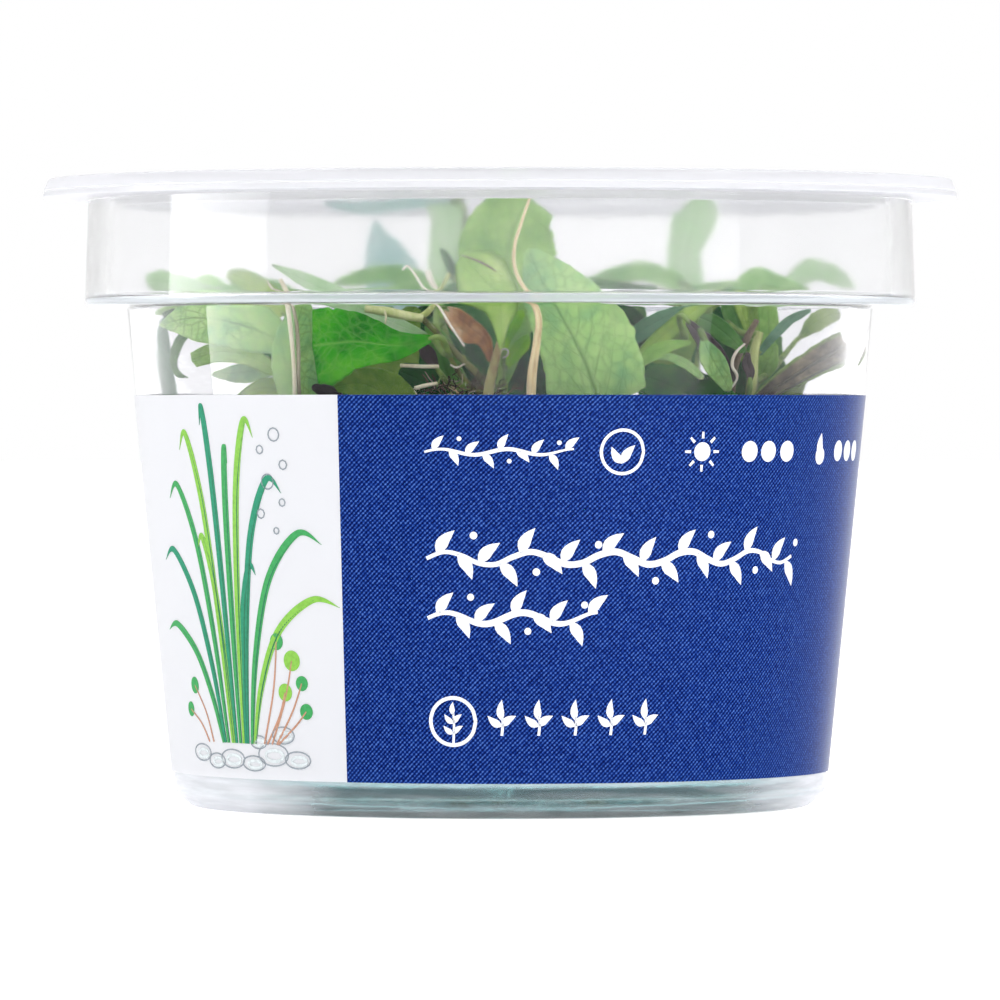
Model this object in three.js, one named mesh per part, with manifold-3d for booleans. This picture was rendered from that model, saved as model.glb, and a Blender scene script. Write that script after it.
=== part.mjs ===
// Water plantlets grown in a clear jar: cup, lid, label, agar gel, stems, leaves and roots.
// Millimetres, +Z up. The origin is the centre of the foot, on the surface the jar stands on.
import * as THREE from 'three';
import { mergeVertices } from 'three/addons/utils/BufferGeometryUtils.js';
import Module from 'manifold-3d';

// Driving dimensions of the jar
const heightTotal = 68.4;       // foot to the top of the lid
const shelfZ = 54.5;            // underside of the shelf that carries the collar
const rimZ = 66.3;              // underside of the rim flange
const rimThick = 0.7;
const bodyTopR = 40.85;         // outside radius of the tapered body under the shelf
const bodySlope = 0.0996;       // radius gained per millimetre of height
const cornerZ = 2.6;            // where the base corner starts to round
const footR = 33.2;
const footLift = 0.6;           // hollow under the base, inside the foot ring
const wall = 2.2;
const floorThick = 1.3;
const shelfThick = 1.85;
const collarBottomR = 45.45;    // the collar narrows slightly upwards
const collarTopR = 45.05;
const collarWall = 2.3;
const flangeR = 50;

// Driving dimensions of the lid, the label and the gel
const lidGap = 0.1;             // seam between the rim flange and the lid's flange
const lidEdgeR = 49.45;         // the lid's edge leans in to this radius at the top
const plugR = 42.3;
const plugWall = 1.3;
const plugZ = 65.3;
const panelZ = 66.2;
const panelThick = 1.1;
const labelZ = [3.8, 44.8];
const labelThick = 0.15;
const labelClear = 0.05;
const labelSeamDeg = 5;         // bare strip at the back where the label's ends meet
const gelTop = 13.6;
const gelClear = 0.3;
const pocketClear = 0.3;

// Facets and plant thicknesses
const roundSteps = 40;
const leafThick = 0.4;
const leafRows = 6;
const petioleHalf = 0.4;        // half width of a leaf where it meets its stem
const stemSides = 7;
const stemSteps = 9;
const rootSides = 5;
const stemFootZ = 9;

const finishes = {
  clearPlastic: new THREE.MeshStandardMaterial({
    color: 0xeef1f4, roughness: 0.08, metalness: 0, transparent: true, opacity: 0.3,
  }),
  printedFilm: new THREE.MeshStandardMaterial({ color: 0x24479a, roughness: 0.45, metalness: 0 }),
  agar: new THREE.MeshStandardMaterial({
    color: 0xcfdcd6, roughness: 0.1, metalness: 0, transparent: true, opacity: 0.45,
  }),
  leafLight: new THREE.MeshStandardMaterial({ color: 0x9bbf7e, roughness: 0.45, metalness: 0 }),
  leafMid: new THREE.MeshStandardMaterial({ color: 0x5f9650, roughness: 0.45, metalness: 0 }),
  leafDark: new THREE.MeshStandardMaterial({ color: 0x3d6b3c, roughness: 0.45, metalness: 0 }),
  leafDead: new THREE.MeshStandardMaterial({ color: 0x8a7258, roughness: 0.7, metalness: 0 }),
  stem: new THREE.MeshStandardMaterial({ color: 0x6f8a45, roughness: 0.5, metalness: 0 }),
  root: new THREE.MeshStandardMaterial({ color: 0xcdbd92, roughness: 0.6, metalness: 0 }),
};

const jar = new THREE.Group();

function addPiece(name, geometry, finish) {
  const mesh = new THREE.Mesh(geometry, finishes[finish]);
  mesh.name = name;
  jar.add(mesh);
  return mesh;
}

// A ring or disc turned round +Z from [radius, height] points, lowest point on the axis first
function turned(points) {
  const outline = points.map(([r, z]) => new THREE.Vector2(r, z));
  const shape = new THREE.LatheGeometry(outline, roundSteps);
  shape.rotateX(Math.PI / 2);
  return shape;
}

const bodyR = (z) => bodyTopR - (shelfZ - z) * bodySlope;

// Points of a quarter round from one corner point to the next, both left out
function quarter(centreR, centreZ, radius, fromDeg, toDeg, steps) {
  const points = [];
  for (let i = 1; i < steps; i += 1) {
    const angle = THREE.MathUtils.degToRad(fromDeg + ((toDeg - fromDeg) * i) / steps);
    points.push([centreR + radius * Math.cos(angle), centreZ + radius * Math.sin(angle)]);
  }
  return points;
}

// Cup: foot ring, rounded base corner, tapered wall, shelf, collar and rim flange
function cupOutline() {
  const cornerR = bodyR(cornerZ) - footR;
  const fillet = 1.1;
  const innerTopZ = shelfZ + shelfThick;
  const innerFloor = footLift + floorThick;
  const innerCorner = 2.4;
  const innerFootR = bodyR(innerFloor + innerCorner) - wall;
  return [
    [0, footLift], [footR - 1.9, footLift], [footR - 1.5, 0], [footR, 0],
    ...quarter(footR, cornerZ, cornerR, -90, 0, 4),
    [bodyR(cornerZ), cornerZ], [bodyTopR, shelfZ], [collarBottomR - fillet, shelfZ],
    ...quarter(collarBottomR - fillet, shelfZ + fillet, fillet, -90, 0, 3),
    [collarBottomR, shelfZ + fillet], [collarTopR, rimZ], [flangeR, rimZ], [flangeR, rimZ + rimThick],
    [collarTopR - collarWall, rimZ + rimThick], [collarBottomR - collarWall, innerTopZ + 0.5],
    [collarBottomR - collarWall - 0.5, innerTopZ], [bodyR(shelfZ) - wall + 0.6, innerTopZ],
    [bodyR(shelfZ) - wall, innerTopZ - 0.7], [innerFootR, innerFloor + innerCorner],
    [innerFootR - 0.7, innerFloor + 0.8], [innerFootR - innerCorner, innerFloor], [0, innerFloor],
  ];
}
addPiece('cup', turned(cupOutline()), 'clearPlastic');

// Lid: plug ring, flange with a leaning edge, and a panel that lies lower than the flange
const lidZ = rimZ + rimThick + lidGap;
addPiece('lid', turned([
  [0, panelZ], [plugR - plugWall, panelZ], [plugR - plugWall + 0.2, plugZ], [plugR - 0.1, plugZ],
  [plugR, lidZ], [flangeR - 0.1, lidZ], [flangeR - 0.1, lidZ + 0.3], [lidEdgeR, heightTotal],
  [plugR + 0.4, heightTotal], [plugR - plugWall, panelZ + panelThick], [0, panelZ + panelThick],
]), 'clearPlastic');

// A thin closed sheet over a grid: at(u, v) gives the middle point and the way it faces
function sheetSolid(at, columns, rows, thick) {
  const positions = [];
  const index = [];
  const perSide = (columns + 1) * (rows + 1);
  for (const side of [1, -1]) {
    for (let i = 0; i <= columns; i += 1) {
      for (let j = 0; j <= rows; j += 1) {
        const { point, facing } = at(i / columns, j / rows);
        positions.push(...point.clone().addScaledVector(facing, (side * thick) / 2).toArray());
      }
    }
  }
  const id = (side, i, j) => side * perSide + i * (rows + 1) + j;
  const quad = (a, b, c, d) => index.push(a, b, c, a, c, d);
  for (let i = 0; i < columns; i += 1) {
    for (let j = 0; j < rows; j += 1) {
      quad(id(0, i, j), id(0, i + 1, j), id(0, i + 1, j + 1), id(0, i, j + 1));
      quad(id(1, i, j), id(1, i, j + 1), id(1, i + 1, j + 1), id(1, i + 1, j));
    }
    quad(id(0, i, 0), id(1, i, 0), id(1, i + 1, 0), id(0, i + 1, 0));
    quad(id(0, i, rows), id(0, i + 1, rows), id(1, i + 1, rows), id(1, i, rows));
  }
  for (let j = 0; j < rows; j += 1) {
    quad(id(0, 0, j), id(0, 0, j + 1), id(1, 0, j + 1), id(1, 0, j));
    quad(id(0, columns, j), id(1, columns, j), id(1, columns, j + 1), id(0, columns, j + 1));
  }
  const shape = new THREE.BufferGeometry();
  shape.setAttribute('position', new THREE.Float32BufferAttribute(positions, 3));
  shape.setIndex(index);
  shape.computeVertexNormals();
  return shape;
}

// Label: a printed film round the tapered wall, its ends a little apart at the back
function labelPoint(u, v) {
  const halfSeam = THREE.MathUtils.degToRad(labelSeamDeg / 2);
  const angle = Math.PI / 2 + halfSeam + u * (Math.PI * 2 - halfSeam * 2);
  const z = labelZ[0] + v * (labelZ[1] - labelZ[0]);
  const radius = bodyR(z) + labelClear + labelThick / 2;
  const facing = new THREE.Vector3(Math.cos(angle), Math.sin(angle), 0);
  return { point: facing.clone().multiplyScalar(radius).setZ(z), facing };
}
addPiece('label', sheetSolid(labelPoint, roundSteps * 2, 1, labelThick), 'printedFilm');

// A round stem or root along a smooth path of [x, y, z] points
function strand(points, radius, sides, steps) {
  const path = new THREE.CatmullRomCurve3(points.map((p) => new THREE.Vector3(...p)));
  const section = new THREE.Shape();
  for (let i = 0; i < sides; i += 1) {
    const angle = (i / sides) * Math.PI * 2;
    const corner = [radius * Math.cos(angle), radius * Math.sin(angle)];
    if (i === 0) section.moveTo(...corner);
    else section.lineTo(...corner);
  }
  section.closePath();
  return new THREE.ExtrudeGeometry(section, { steps, extrudePath: path });
}

// Stems: radius, then the path above the foot, which stands upright in its pocket in the gel
const stems = {
  stem_front: {
    radius: 0.8, foot: [0, -20],
    path: [[-1.2, -24, 32], [-1.0, -28.5, 43.5], [-0.3, -30.8, 48.2]],
  },
  stem_leaning: {
    radius: 0.85, foot: [-4, -13],
    path: [[-3, -20, 32], [-2.4, -25.5, 45.4], [-4.6, -27.6, 49.6], [-7.4, -28, 52.7]],
  },
  stem_middle: {
    radius: 0.8, foot: [5, -4],
    path: [[4, -9, 30], [0.4, -15, 44.8]],
  },
  stem_broad: {
    radius: 0.9, foot: [10, -17],
    path: [[11, -24, 25], [12, -29.8, 33.6]],
  },
  stem_right: {
    radius: 0.85, foot: [16, -6],
    path: [[18, -9, 32], [19.6, -11, 44], [20.6, -12, 53]],
  },
  stem_brown: {
    radius: 0.85, foot: [23, -5],
    path: [[24.4, -8.5, 32], [25, -11.4, 44], [26.2, -11, 49.2], [27.4, -10.4, 53.4]],
  },
  stem_left: {
    radius: 0.9, foot: [-18, -8],
    path: [[-20, -12, 32], [-19.6, -14.6, 43], [-19.8, -15, 49]],
  },
  stem_back: {
    radius: 0.8, foot: [-3, 12],
    path: [[-4, 14, 32], [-6.2, 18, 46], [-6.6, 19.4, 50.8]],
  },
  stem_back_right: {
    radius: 0.8, foot: [18, 11],
    path: [[20, 14, 32], [21.8, 16.6, 45], [22.3, 17.6, 50]],
  },
};
for (const [name, { radius, foot, path }] of Object.entries(stems)) {
  const points = [[...foot, stemFootZ], [...foot, gelTop + 1.4], ...path];
  addPiece(name, strand(points, radius, stemSides, stemSteps), name === 'stem_brown' ? 'leafDead' : 'stem');
}
addPiece('stem_stub', strand([[-14.8, -28.6, 54.4], [-8.9, -28.1, 53.5]], 0.75, stemSides, 1), 'stem');

// Gel: a disc in the bottom of the cup, with a pocket for the foot of each stem
const wasm = await Module();
wasm.setup();

function toSolid(geometry) {
  const bare = geometry.clone();
  bare.deleteAttribute('normal');
  bare.deleteAttribute('uv');
  const merged = mergeVertices(bare, 1e-4);
  const vertProperties = new Float32Array(merged.attributes.position.array);
  const triVerts = new Uint32Array(merged.index.array);
  return new wasm.Manifold(new wasm.Mesh({ numProp: 3, vertProperties, triVerts }));
}

function toGeometry(solid) {
  const mesh = solid.getMesh();
  const shape = new THREE.BufferGeometry();
  shape.setAttribute('position', new THREE.Float32BufferAttribute(mesh.vertProperties, 3));
  shape.setIndex(Array.from(mesh.triVerts));
  shape.computeVertexNormals();
  return shape;
}

function gelSolid() {
  const floorZ = footLift + floorThick + gelClear;
  const bottomR = bodyR(floorZ + 2.4) - wall - 3;
  let gel = toSolid(turned([
    [0, floorZ], [bottomR, floorZ], [bodyR(floorZ + 2.6) - wall - gelClear, floorZ + 2.6],
    [bodyR(gelTop) - wall - gelClear, gelTop], [0, gelTop],
  ]));
  for (const { radius, foot } of Object.values(stems)) {
    const pocketFloor = stemFootZ - pocketClear;
    const depth = gelTop + 1 - pocketFloor;
    const pocket = new THREE.CylinderGeometry(radius + pocketClear, radius + pocketClear, depth, 8);
    pocket.rotateX(Math.PI / 2);
    pocket.translate(foot[0], foot[1], pocketFloor + depth / 2);
    gel = gel.subtract(toSolid(pocket));
  }
  return toGeometry(gel);
}
addPiece('gel', gelSolid(), 'agar');

// Leaf: base and tip in the jar, width, where it is widest along its length, the way its upper
// side faces, how far it bows (degrees of arc), and how far its halves fold up along the midrib
function leafPoint({ base, tip, width, widest, face, bow = 0, fold = 0 }) {
  const start = new THREE.Vector3(...base);
  const along = new THREE.Vector3(...tip).sub(start);
  const chord = along.length();
  along.normalize();
  const up = new THREE.Vector3(...face);
  up.addScaledVector(along, -up.dot(along)).normalize();
  const across = new THREE.Vector3().crossVectors(up, along);
  const arc = THREE.MathUtils.degToRad(Math.max(Math.abs(bow), 0.1)) * (bow < 0 ? -1 : 1);
  const arcR = chord / (2 * Math.sin(arc / 2));
  const power = Math.log(0.5) / Math.log(widest);
  const slope = Math.tan(THREE.MathUtils.degToRad(fold));
  return (u, v) => {
    const turn = arc * (u - 0.5);
    const reach = arcR * (Math.sin(turn) + Math.sin(arc / 2));
    const rise = arcR * (Math.cos(turn) - Math.cos(arc / 2));
    const half = Math.max((width / 2) * Math.sin(Math.PI * u ** power) ** 0.8, petioleHalf);
    const side = (v * 2 - 1) * half;
    const facing = up.clone().multiplyScalar(Math.cos(turn)).addScaledVector(along, Math.sin(turn));
    const point = start.clone().addScaledVector(along, reach).addScaledVector(up, rise);
    point.addScaledVector(across, side).addScaledVector(facing, slope * Math.abs(side));
    return { point, facing };
  };
}

const leaves = {
  // in front, against or near the wall
  leaf_front_broad: {
    base: [11.9, -31.4, 34.9], tip: [2.8, -33.6, 60.5], width: 13.4, widest: 0.42,
    face: [-0.25, -1, 0.1], bow: 14, fold: -14, finish: 'leafLight',
  },
  leaf_wall_green: {
    base: [-6.2, -32, 50.9], tip: [-19.4, -30.9, 50.1], width: 8.6, widest: 0.8,
    face: [-0.3, -1, 0.05], bow: 40, fold: -6, finish: 'leafMid',
  },
  leaf_folded: {
    base: [0, -31.9, 49.6], tip: [-3.7, -33.2, 59.8], width: 7.8, widest: 0.62,
    face: [-0.1, -1, 0.25], bow: 20, fold: 18, finish: 'leafLight',
  },
  leaf_behind_root: {
    base: [-16.8, -26.6, 42], tip: [-22.8, -28.2, 55], width: 6, widest: 0.6,
    face: [-0.5, -1, 0.2], bow: 20, fold: 8, finish: 'leafLight',
  },
  leaf_pointed: {
    base: [-9.9, -24.4, 51.8], tip: [-23.7, -26.4, 58.6], width: 3.4, widest: 0.35,
    face: [0.2, -1, 1.2], bow: 12, fold: 14, finish: 'leafLight',
  },
  // on the left
  leaf_left_broad: {
    base: [-17.2, -18.6, 45.8], tip: [-32.4, -16.8, 54], width: 8.8, widest: 0.5,
    face: [-0.2, -1, 0.6], bow: 24, fold: 8, finish: 'leafLight',
  },
  leaf_left_dark: {
    base: [-27, -13.2, 51.2], tip: [-35.4, -11.8, 53.6], width: 4.2, widest: 0.6,
    face: [-0.3, -1, 0.4], bow: -14, fold: 8, finish: 'leafDark',
  },
  leaf_hook: {
    base: [-34.4, -8, 52.4], tip: [-34.8, -8.6, 47.4], width: 1.7, widest: 0.5,
    face: [-1, -0.6, 0], bow: 100, fold: 6, finish: 'leafMid',
  },
  leaf_left_wall: {
    base: [-35.6, -1, 40.8], tip: [-37.5, -2, 53.2], width: 6.4, widest: 0.5,
    face: [-1, -0.1, 0], bow: 6, fold: -14, finish: 'leafMid',
  },
  leaf_narrow_1: {
    base: [-21.2, -13.4, 48.4], tip: [-33.2, -13.8, 47.6], width: 2.6, widest: 0.6,
    face: [0, -1, 0.9], bow: 24, fold: 10, finish: 'leafMid',
  },
  leaf_narrow_2: {
    base: [-21.1, -11.8, 46], tip: [-31, -11.4, 46.3], width: 2.4, widest: 0.66,
    face: [0.1, -1, 0.7], bow: 16, fold: 10, finish: 'leafLight',
  },
  leaf_narrow_3: {
    base: [-17.8, -17.6, 43.4], tip: [-27.6, -21.4, 44.8], width: 3, widest: 0.6,
    face: [-0.2, -1, 0.9], bow: 20, fold: 8, finish: 'leafLight',
  },
  leaf_collar_left_1: {
    base: [-27, -2.4, 56.2], tip: [-38.7, -1.6, 57.7], width: 3.6, widest: 0.7,
    face: [0, -0.8, 0.8], bow: 10, fold: 10, finish: 'leafLight',
  },
  leaf_collar_left_2: {
    base: [-24.2, 6.4, 54.4], tip: [-34.4, 8, 57.9], width: 4, widest: 0.6,
    face: [0.1, -0.8, 0.8], bow: 26, fold: 8, finish: 'leafMid',
  },
  leaf_collar_left_3: {
    base: [-20.4, -9, 51], tip: [-29.6, -6.6, 58.1], width: 4.2, widest: 0.7,
    face: [0.2, -0.9, 0.6], bow: 30, fold: 8, finish: 'leafLight',
  },
  // in the middle and at the back
  leaf_tall: {
    base: [-2, -16, 45.6], tip: [3.8, -17.4, 65.8], width: 11.6, widest: 0.7,
    face: [-0.1, -1, 0.1], bow: 34, fold: 5, finish: 'leafLight',
  },
  leaf_dead: {
    base: [-5.6, -23.6, 54.2], tip: [-0.9, -22.4, 48], width: 4.6, widest: 0.6,
    face: [-0.3, -1, 0.3], bow: 36, fold: 20, finish: 'leafDead',
  },
  leaf_back_left: {
    base: [-6.8, 20.2, 51.6], tip: [-6.2, 24, 65.8], width: 4.6, widest: 0.8,
    face: [0, -1, 0.2], bow: -14, fold: 6, finish: 'leafLight',
  },
  leaf_back_right: {
    base: [22.6, 18.4, 50.6], tip: [22, 22, 65.8], width: 5.8, widest: 0.8,
    face: [0, -1, 0.2], bow: -16, fold: 6, finish: 'leafLight',
  },
  leaf_back_wide: {
    base: [-9.6, 19.6, 49.6], tip: [-15.2, 28.6, 63], width: 5.6, widest: 0.4,
    face: [0.2, -1, 0.3], bow: 16, fold: 6, finish: 'leafMid',
  },
  leaf_back_low: {
    base: [-4, 17.6, 49], tip: [-18, 9.6, 57], width: 5, widest: 0.55,
    face: [0.1, -1, 0.6], bow: 22, fold: 8, finish: 'leafMid',
  },
  leaf_back_cross: {
    base: [20.6, 15.6, 53], tip: [7, 12.4, 58.4], width: 4.6, widest: 0.6,
    face: [0.1, -1, 0.6], bow: 20, fold: 8, finish: 'leafMid',
  },
  // on the right
  leaf_right_arch: {
    base: [21.4, -14.2, 54.8], tip: [13.6, -17.4, 49], width: 4.2, widest: 0.55,
    face: [-0.3, -1, 0.6], bow: 20, fold: 10, finish: 'leafLight',
  },
  leaf_right_dark: {
    base: [17.6, -8.4, 46], tip: [12.4, -9.6, 56], width: 4.4, widest: 0.6,
    face: [0, -1, 0.3], bow: 20, fold: 8, finish: 'leafDark',
  },
  leaf_right_mid: {
    base: [21.4, -12.6, 52.8], tip: [27, -14, 48.8], width: 3.6, widest: 0.5,
    face: [0.3, -1, 0.4], bow: 16, fold: 8, finish: 'leafMid',
  },
  leaf_right_purple: {
    base: [19.4, -18.8, 53], tip: [25, -19.8, 48.2], width: 1.8, widest: 0.5,
    face: [0.3, -1, 0.3], bow: 12, fold: 16, finish: 'leafDead',
  },
  leaf_right_blade: {
    base: [20, -22.2, 51.4], tip: [24.4, -22.6, 45.4], width: 2.6, widest: 0.6,
    face: [0.1, -1, 0], bow: 10, fold: 8, finish: 'leafLight',
  },
  leaf_right_low: {
    base: [16.4, -12.2, 40.2], tip: [17.6, -23.6, 48.4], width: 8, widest: 0.6,
    face: [0.2, -1, 1.2], bow: 24, fold: 8, finish: 'leafDark',
  },
  leaf_right_band: {
    base: [27.2, -9, 49], tip: [33.6, -10.4, 54.4], width: 1.9, widest: 0.5,
    face: [-0.3, -1, 0.9], bow: 26, fold: 8, finish: 'leafMid',
  },
  leaf_right_olive: {
    base: [28.6, -1.6, 49.2], tip: [37, 0.6, 54.3], width: 3.2, widest: 0.7,
    face: [-0.3, -1, 0.6], bow: 14, fold: 8, finish: 'leafMid',
  },
  leaf_decaying: {
    base: [26.6, -13.2, 43], tip: [35.9, -5, 50.4], width: 6, widest: 0.82,
    face: [-0.5, -1, 0.4], bow: 16, fold: 10, finish: 'leafDead',
  },
  leaf_collar_right_1: {
    base: [27.6, 6, 54], tip: [35.6, 10, 57.8], width: 4.2, widest: 0.6,
    face: [-0.1, -0.9, 0.6], bow: 30, fold: 8, finish: 'leafMid',
  },
  leaf_collar_right_2: {
    base: [28.6, -5.6, 55], tip: [39.4, 0, 58.6], width: 4.4, widest: 0.6,
    face: [-0.2, -0.9, 0.7], bow: 24, fold: 8, finish: 'leafMid',
  },
  // lower down, between the stems
  leaf_low_front: {
    base: [-2.2, -22.6, 27], tip: [-14, -29, 36], width: 6, widest: 0.5,
    face: [-0.2, -0.6, 1], bow: 30, fold: 10, finish: 'leafMid',
  },
  leaf_low_left: {
    base: [-21.2, -11, 26], tip: [-31, -2, 36], width: 6, widest: 0.5,
    face: [0.6, -0.2, 1], bow: 30, fold: 10, finish: 'leafMid',
  },
  leaf_low_back: {
    base: [-2.6, 14.4, 25], tip: [6, 26, 36], width: 6, widest: 0.5,
    face: [-0.2, -0.6, 1], bow: 30, fold: 10, finish: 'leafDark',
  },
  leaf_low_right: {
    base: [24.8, -5.8, 25], tip: [32, 3, 35], width: 6, widest: 0.5,
    face: [-0.6, -0.3, 1], bow: 30, fold: 10, finish: 'leafMid',
  },
};
for (const [name, leaf] of Object.entries(leaves)) {
  const halves = leaf.width > 5 ? 4 : 2;
  addPiece(name, sheetSolid(leafPoint(leaf), leafRows, halves, leafThick), leaf.finish);
}

// Roots: radius and path
const roots = {
  root_tan_front: {
    radius: 0.3,
    path: [
      [3.1, -36.2, 65.2], [1.4, -36.3, 58.8], [2.8, -36.6, 55.8],
      [4, -36.8, 53.2], [3.4, -36.4, 49], [2.8, -35.4, 43],
    ],
  },
  root_tan_left: {
    radius: 0.36,
    path: [[-23.7, -29.6, 58.2], [-21.9, -30.6, 56.5], [-21.4, -30.8, 51.7], [-21.1, -30.2, 43]],
  },
  root_white: {
    radius: 0.2,
    path: [[-10, -31.4, 58.2], [-8, -32.4, 56.4], [-6.6, -33.8, 54.3], [-3.7, -34.2, 50.3]],
  },
  root_tip: {
    radius: 0.35,
    path: [[-7.6, -25, 58.1], [-6.4, -25.6, 55.6]],
  },
  root_stick_1: {
    radius: 0.22,
    path: [[-10.4, -29.4, 47.9], [-5.6, -28.6, 47.8]],
  },
  root_stick_2: {
    radius: 0.22,
    path: [[-9, -30.4, 45.6], [-5.4, -29.4, 46.2]],
  },
};
for (const [name, { radius, path }] of Object.entries(roots)) {
  addPiece(name, strand(path, radius, rootSides, (path.length - 1) * 2), 'root');
}

export default jar;
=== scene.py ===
import math
import random

import bpy
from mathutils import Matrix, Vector, noise


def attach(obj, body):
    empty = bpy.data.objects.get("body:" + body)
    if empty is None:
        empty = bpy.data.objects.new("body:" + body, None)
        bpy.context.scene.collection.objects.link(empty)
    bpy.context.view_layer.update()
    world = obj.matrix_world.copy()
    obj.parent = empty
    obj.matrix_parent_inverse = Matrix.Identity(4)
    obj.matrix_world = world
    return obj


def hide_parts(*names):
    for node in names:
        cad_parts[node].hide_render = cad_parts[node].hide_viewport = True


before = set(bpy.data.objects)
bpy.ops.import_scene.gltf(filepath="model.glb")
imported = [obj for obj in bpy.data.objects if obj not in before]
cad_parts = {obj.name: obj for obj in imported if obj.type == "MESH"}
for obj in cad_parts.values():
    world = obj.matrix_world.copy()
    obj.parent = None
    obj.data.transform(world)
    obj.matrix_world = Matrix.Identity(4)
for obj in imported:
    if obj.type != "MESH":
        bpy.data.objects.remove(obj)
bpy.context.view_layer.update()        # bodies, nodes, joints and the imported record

mm = 0.001
random.seed(11)          # the low leaves and the fibres come out the same each run


# Small helpers

def dropSelection():
    if bpy.context.object and bpy.context.object.mode != "OBJECT":
        bpy.ops.object.mode_set(mode="OBJECT")
    bpy.ops.object.select_all(action="DESELECT")


def pick(obj):
    dropSelection()
    obj.select_set(True)
    bpy.context.view_layer.objects.active = obj


def applyModifier(obj, kind, **settings):
    pick(obj)
    modifier = obj.modifiers.new(kind.title(), kind)
    for key, value in settings.items():
        setattr(modifier, key, value)
    bpy.ops.object.modifier_apply(modifier=modifier.name)


def smooth(obj, degrees=35):
    pick(obj)
    bpy.ops.object.shade_smooth_by_angle(angle=math.radians(degrees))


def weldMesh(gap=0.002):
    # from edit mode: points closer than the gap in mm merge, and the faces turn outwards
    bpy.ops.mesh.select_all(action="SELECT")
    bpy.ops.mesh.remove_doubles(threshold=gap * mm)
    bpy.ops.mesh.normals_make_consistent(inside=False)
    bpy.ops.object.mode_set(mode="OBJECT")


def seat(obj, name, material, nodes):
    # the finished piece sits at the origin, rides on the jar and stands for its solids
    pick(obj)
    bpy.ops.object.transform_apply(location=True, rotation=True, scale=True)
    obj.name = name
    obj.data.name = name
    obj.data.materials.clear()
    obj.data.materials.append(material)
    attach(obj, "root")
    if nodes:
        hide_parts(*nodes)
    return obj


def joinPieces(objs):
    dropSelection()
    for obj in objs:
        obj.select_set(True)
    bpy.context.view_layer.objects.active = objs[0]
    if len(objs) > 1:
        bpy.ops.object.join()
    return bpy.context.object


def alongPath(points, share):
    # a smooth curve through points or numbers, share runs from 0 to 1
    last = len(points) - 1
    index = min(int(share * last), last - 1)
    part = share * last - index
    before, start, end, after = (points[max(index - 1, 0)], points[index],
                                 points[index + 1], points[min(index + 2, last)])
    return 0.5 * (start * 2 + (end - before) * part
                  + (before * 2 - start * 5 + end * 4 - after) * part ** 2
                  + (start * 3 - before - end * 3 + after) * part ** 3)


# Colours and nodes

def hexColour(code, alpha=1.0):
    channels = [int(code[i:i + 2], 16) / 255 for i in (1, 3, 5)]
    linear = [c / 12.92 if c <= 0.04045 else ((c + 0.055) / 1.055) ** 2.4 for c in channels]
    return (*linear, alpha)


def feed(node, inputs):
    # an input gets a value, an output to link, or a node whose first output is linked
    pairs = inputs.items() if isinstance(inputs, dict) else enumerate(inputs)
    for key, value in pairs:
        source = value.outputs[0] if isinstance(value, bpy.types.Node) else value
        if isinstance(source, bpy.types.NodeSocket):
            node.id_data.links.new(source, node.inputs[key])
        else:
            node.inputs[key].default_value = source


def addNode(tree, kind, inputs=(), stops=(), **settings):
    # stops are a ramp's places and colours
    node = tree.nodes.new("ShaderNode" + kind)
    for key, value in settings.items():
        setattr(node, key, value)
    feed(node, inputs)
    if stops:
        elements = node.color_ramp.elements
        while len(elements) < len(stops):
            elements.new(0.5)
        for element, (place, colour) in zip(elements, stops):
            element.position = place
            element.color = colour
    return node


def newMaterial(name, inputs=()):
    material = bpy.data.materials.new(name)
    material.use_nodes = True
    tree = material.node_tree
    shader = tree.nodes["Principled BSDF"]
    feed(shader, inputs)
    return material, tree, shader


# Camera at the photograph's angle, soft light and a plain pale floor

view = {
    "distance": 0.910,       # from the jar's axis
    "height": 0.0432,        # the horizon runs through the top of the label
    "lens": 298.8,
    "sensor": 36.0,
    "tiltDown": 0.6213,      # degrees, so that the jar sits in the middle of the frame
}


def placeCamera():
    camera = bpy.data.cameras.new("camera")
    camera.lens = view["lens"]
    camera.sensor_width = view["sensor"]
    camera.clip_start = 0.05
    camera.clip_end = 30
    cameraObj = bpy.data.objects.new("camera", camera)
    cameraObj.location = (0, -view["distance"], view["height"])
    cameraObj.rotation_euler = (math.radians(90 - view["tiltDown"]), 0, 0)
    bpy.context.scene.collection.objects.link(cameraObj)
    bpy.context.scene.camera = cameraObj


softBoxes = {
    # azimuth is counted from the camera's side towards +X, in degrees
    "leftBox": {"azimuth": -84, "height": 0.3, "reach": 1.1, "size": (0.6, 0.9), "watts": 2.8},
    "rightBox": {"azimuth": 48, "height": 0.45, "reach": 1.4, "size": (1.0, 0.9), "watts": 7.4},
}
reflectors = {
    # bright cards close to the jar that only its gloss sees
    "leftCard": {"azimuth": -77, "height": 0.043, "reach": 0.20, "size": (0.12, 0.086), "watts": 0.48},
    "rightCard": {"azimuth": 22, "height": 0.043, "reach": 0.24, "size": (0.44, 0.086), "watts": 1.2},
}
ceilingGlow = {"strength": 1.0, "spread": 110, "tilt": 12}      # lifts the paper floor to white
room = {
    # behind the camera the room is a little greyer than the paper behind the jar
    "behindJar": "#ffffff", "behindCamera": "#e7e8ea", "fall": 1.6,
    "aimHeight": 0.04,       # the soft boxes look at the middle of the jar
}


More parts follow.
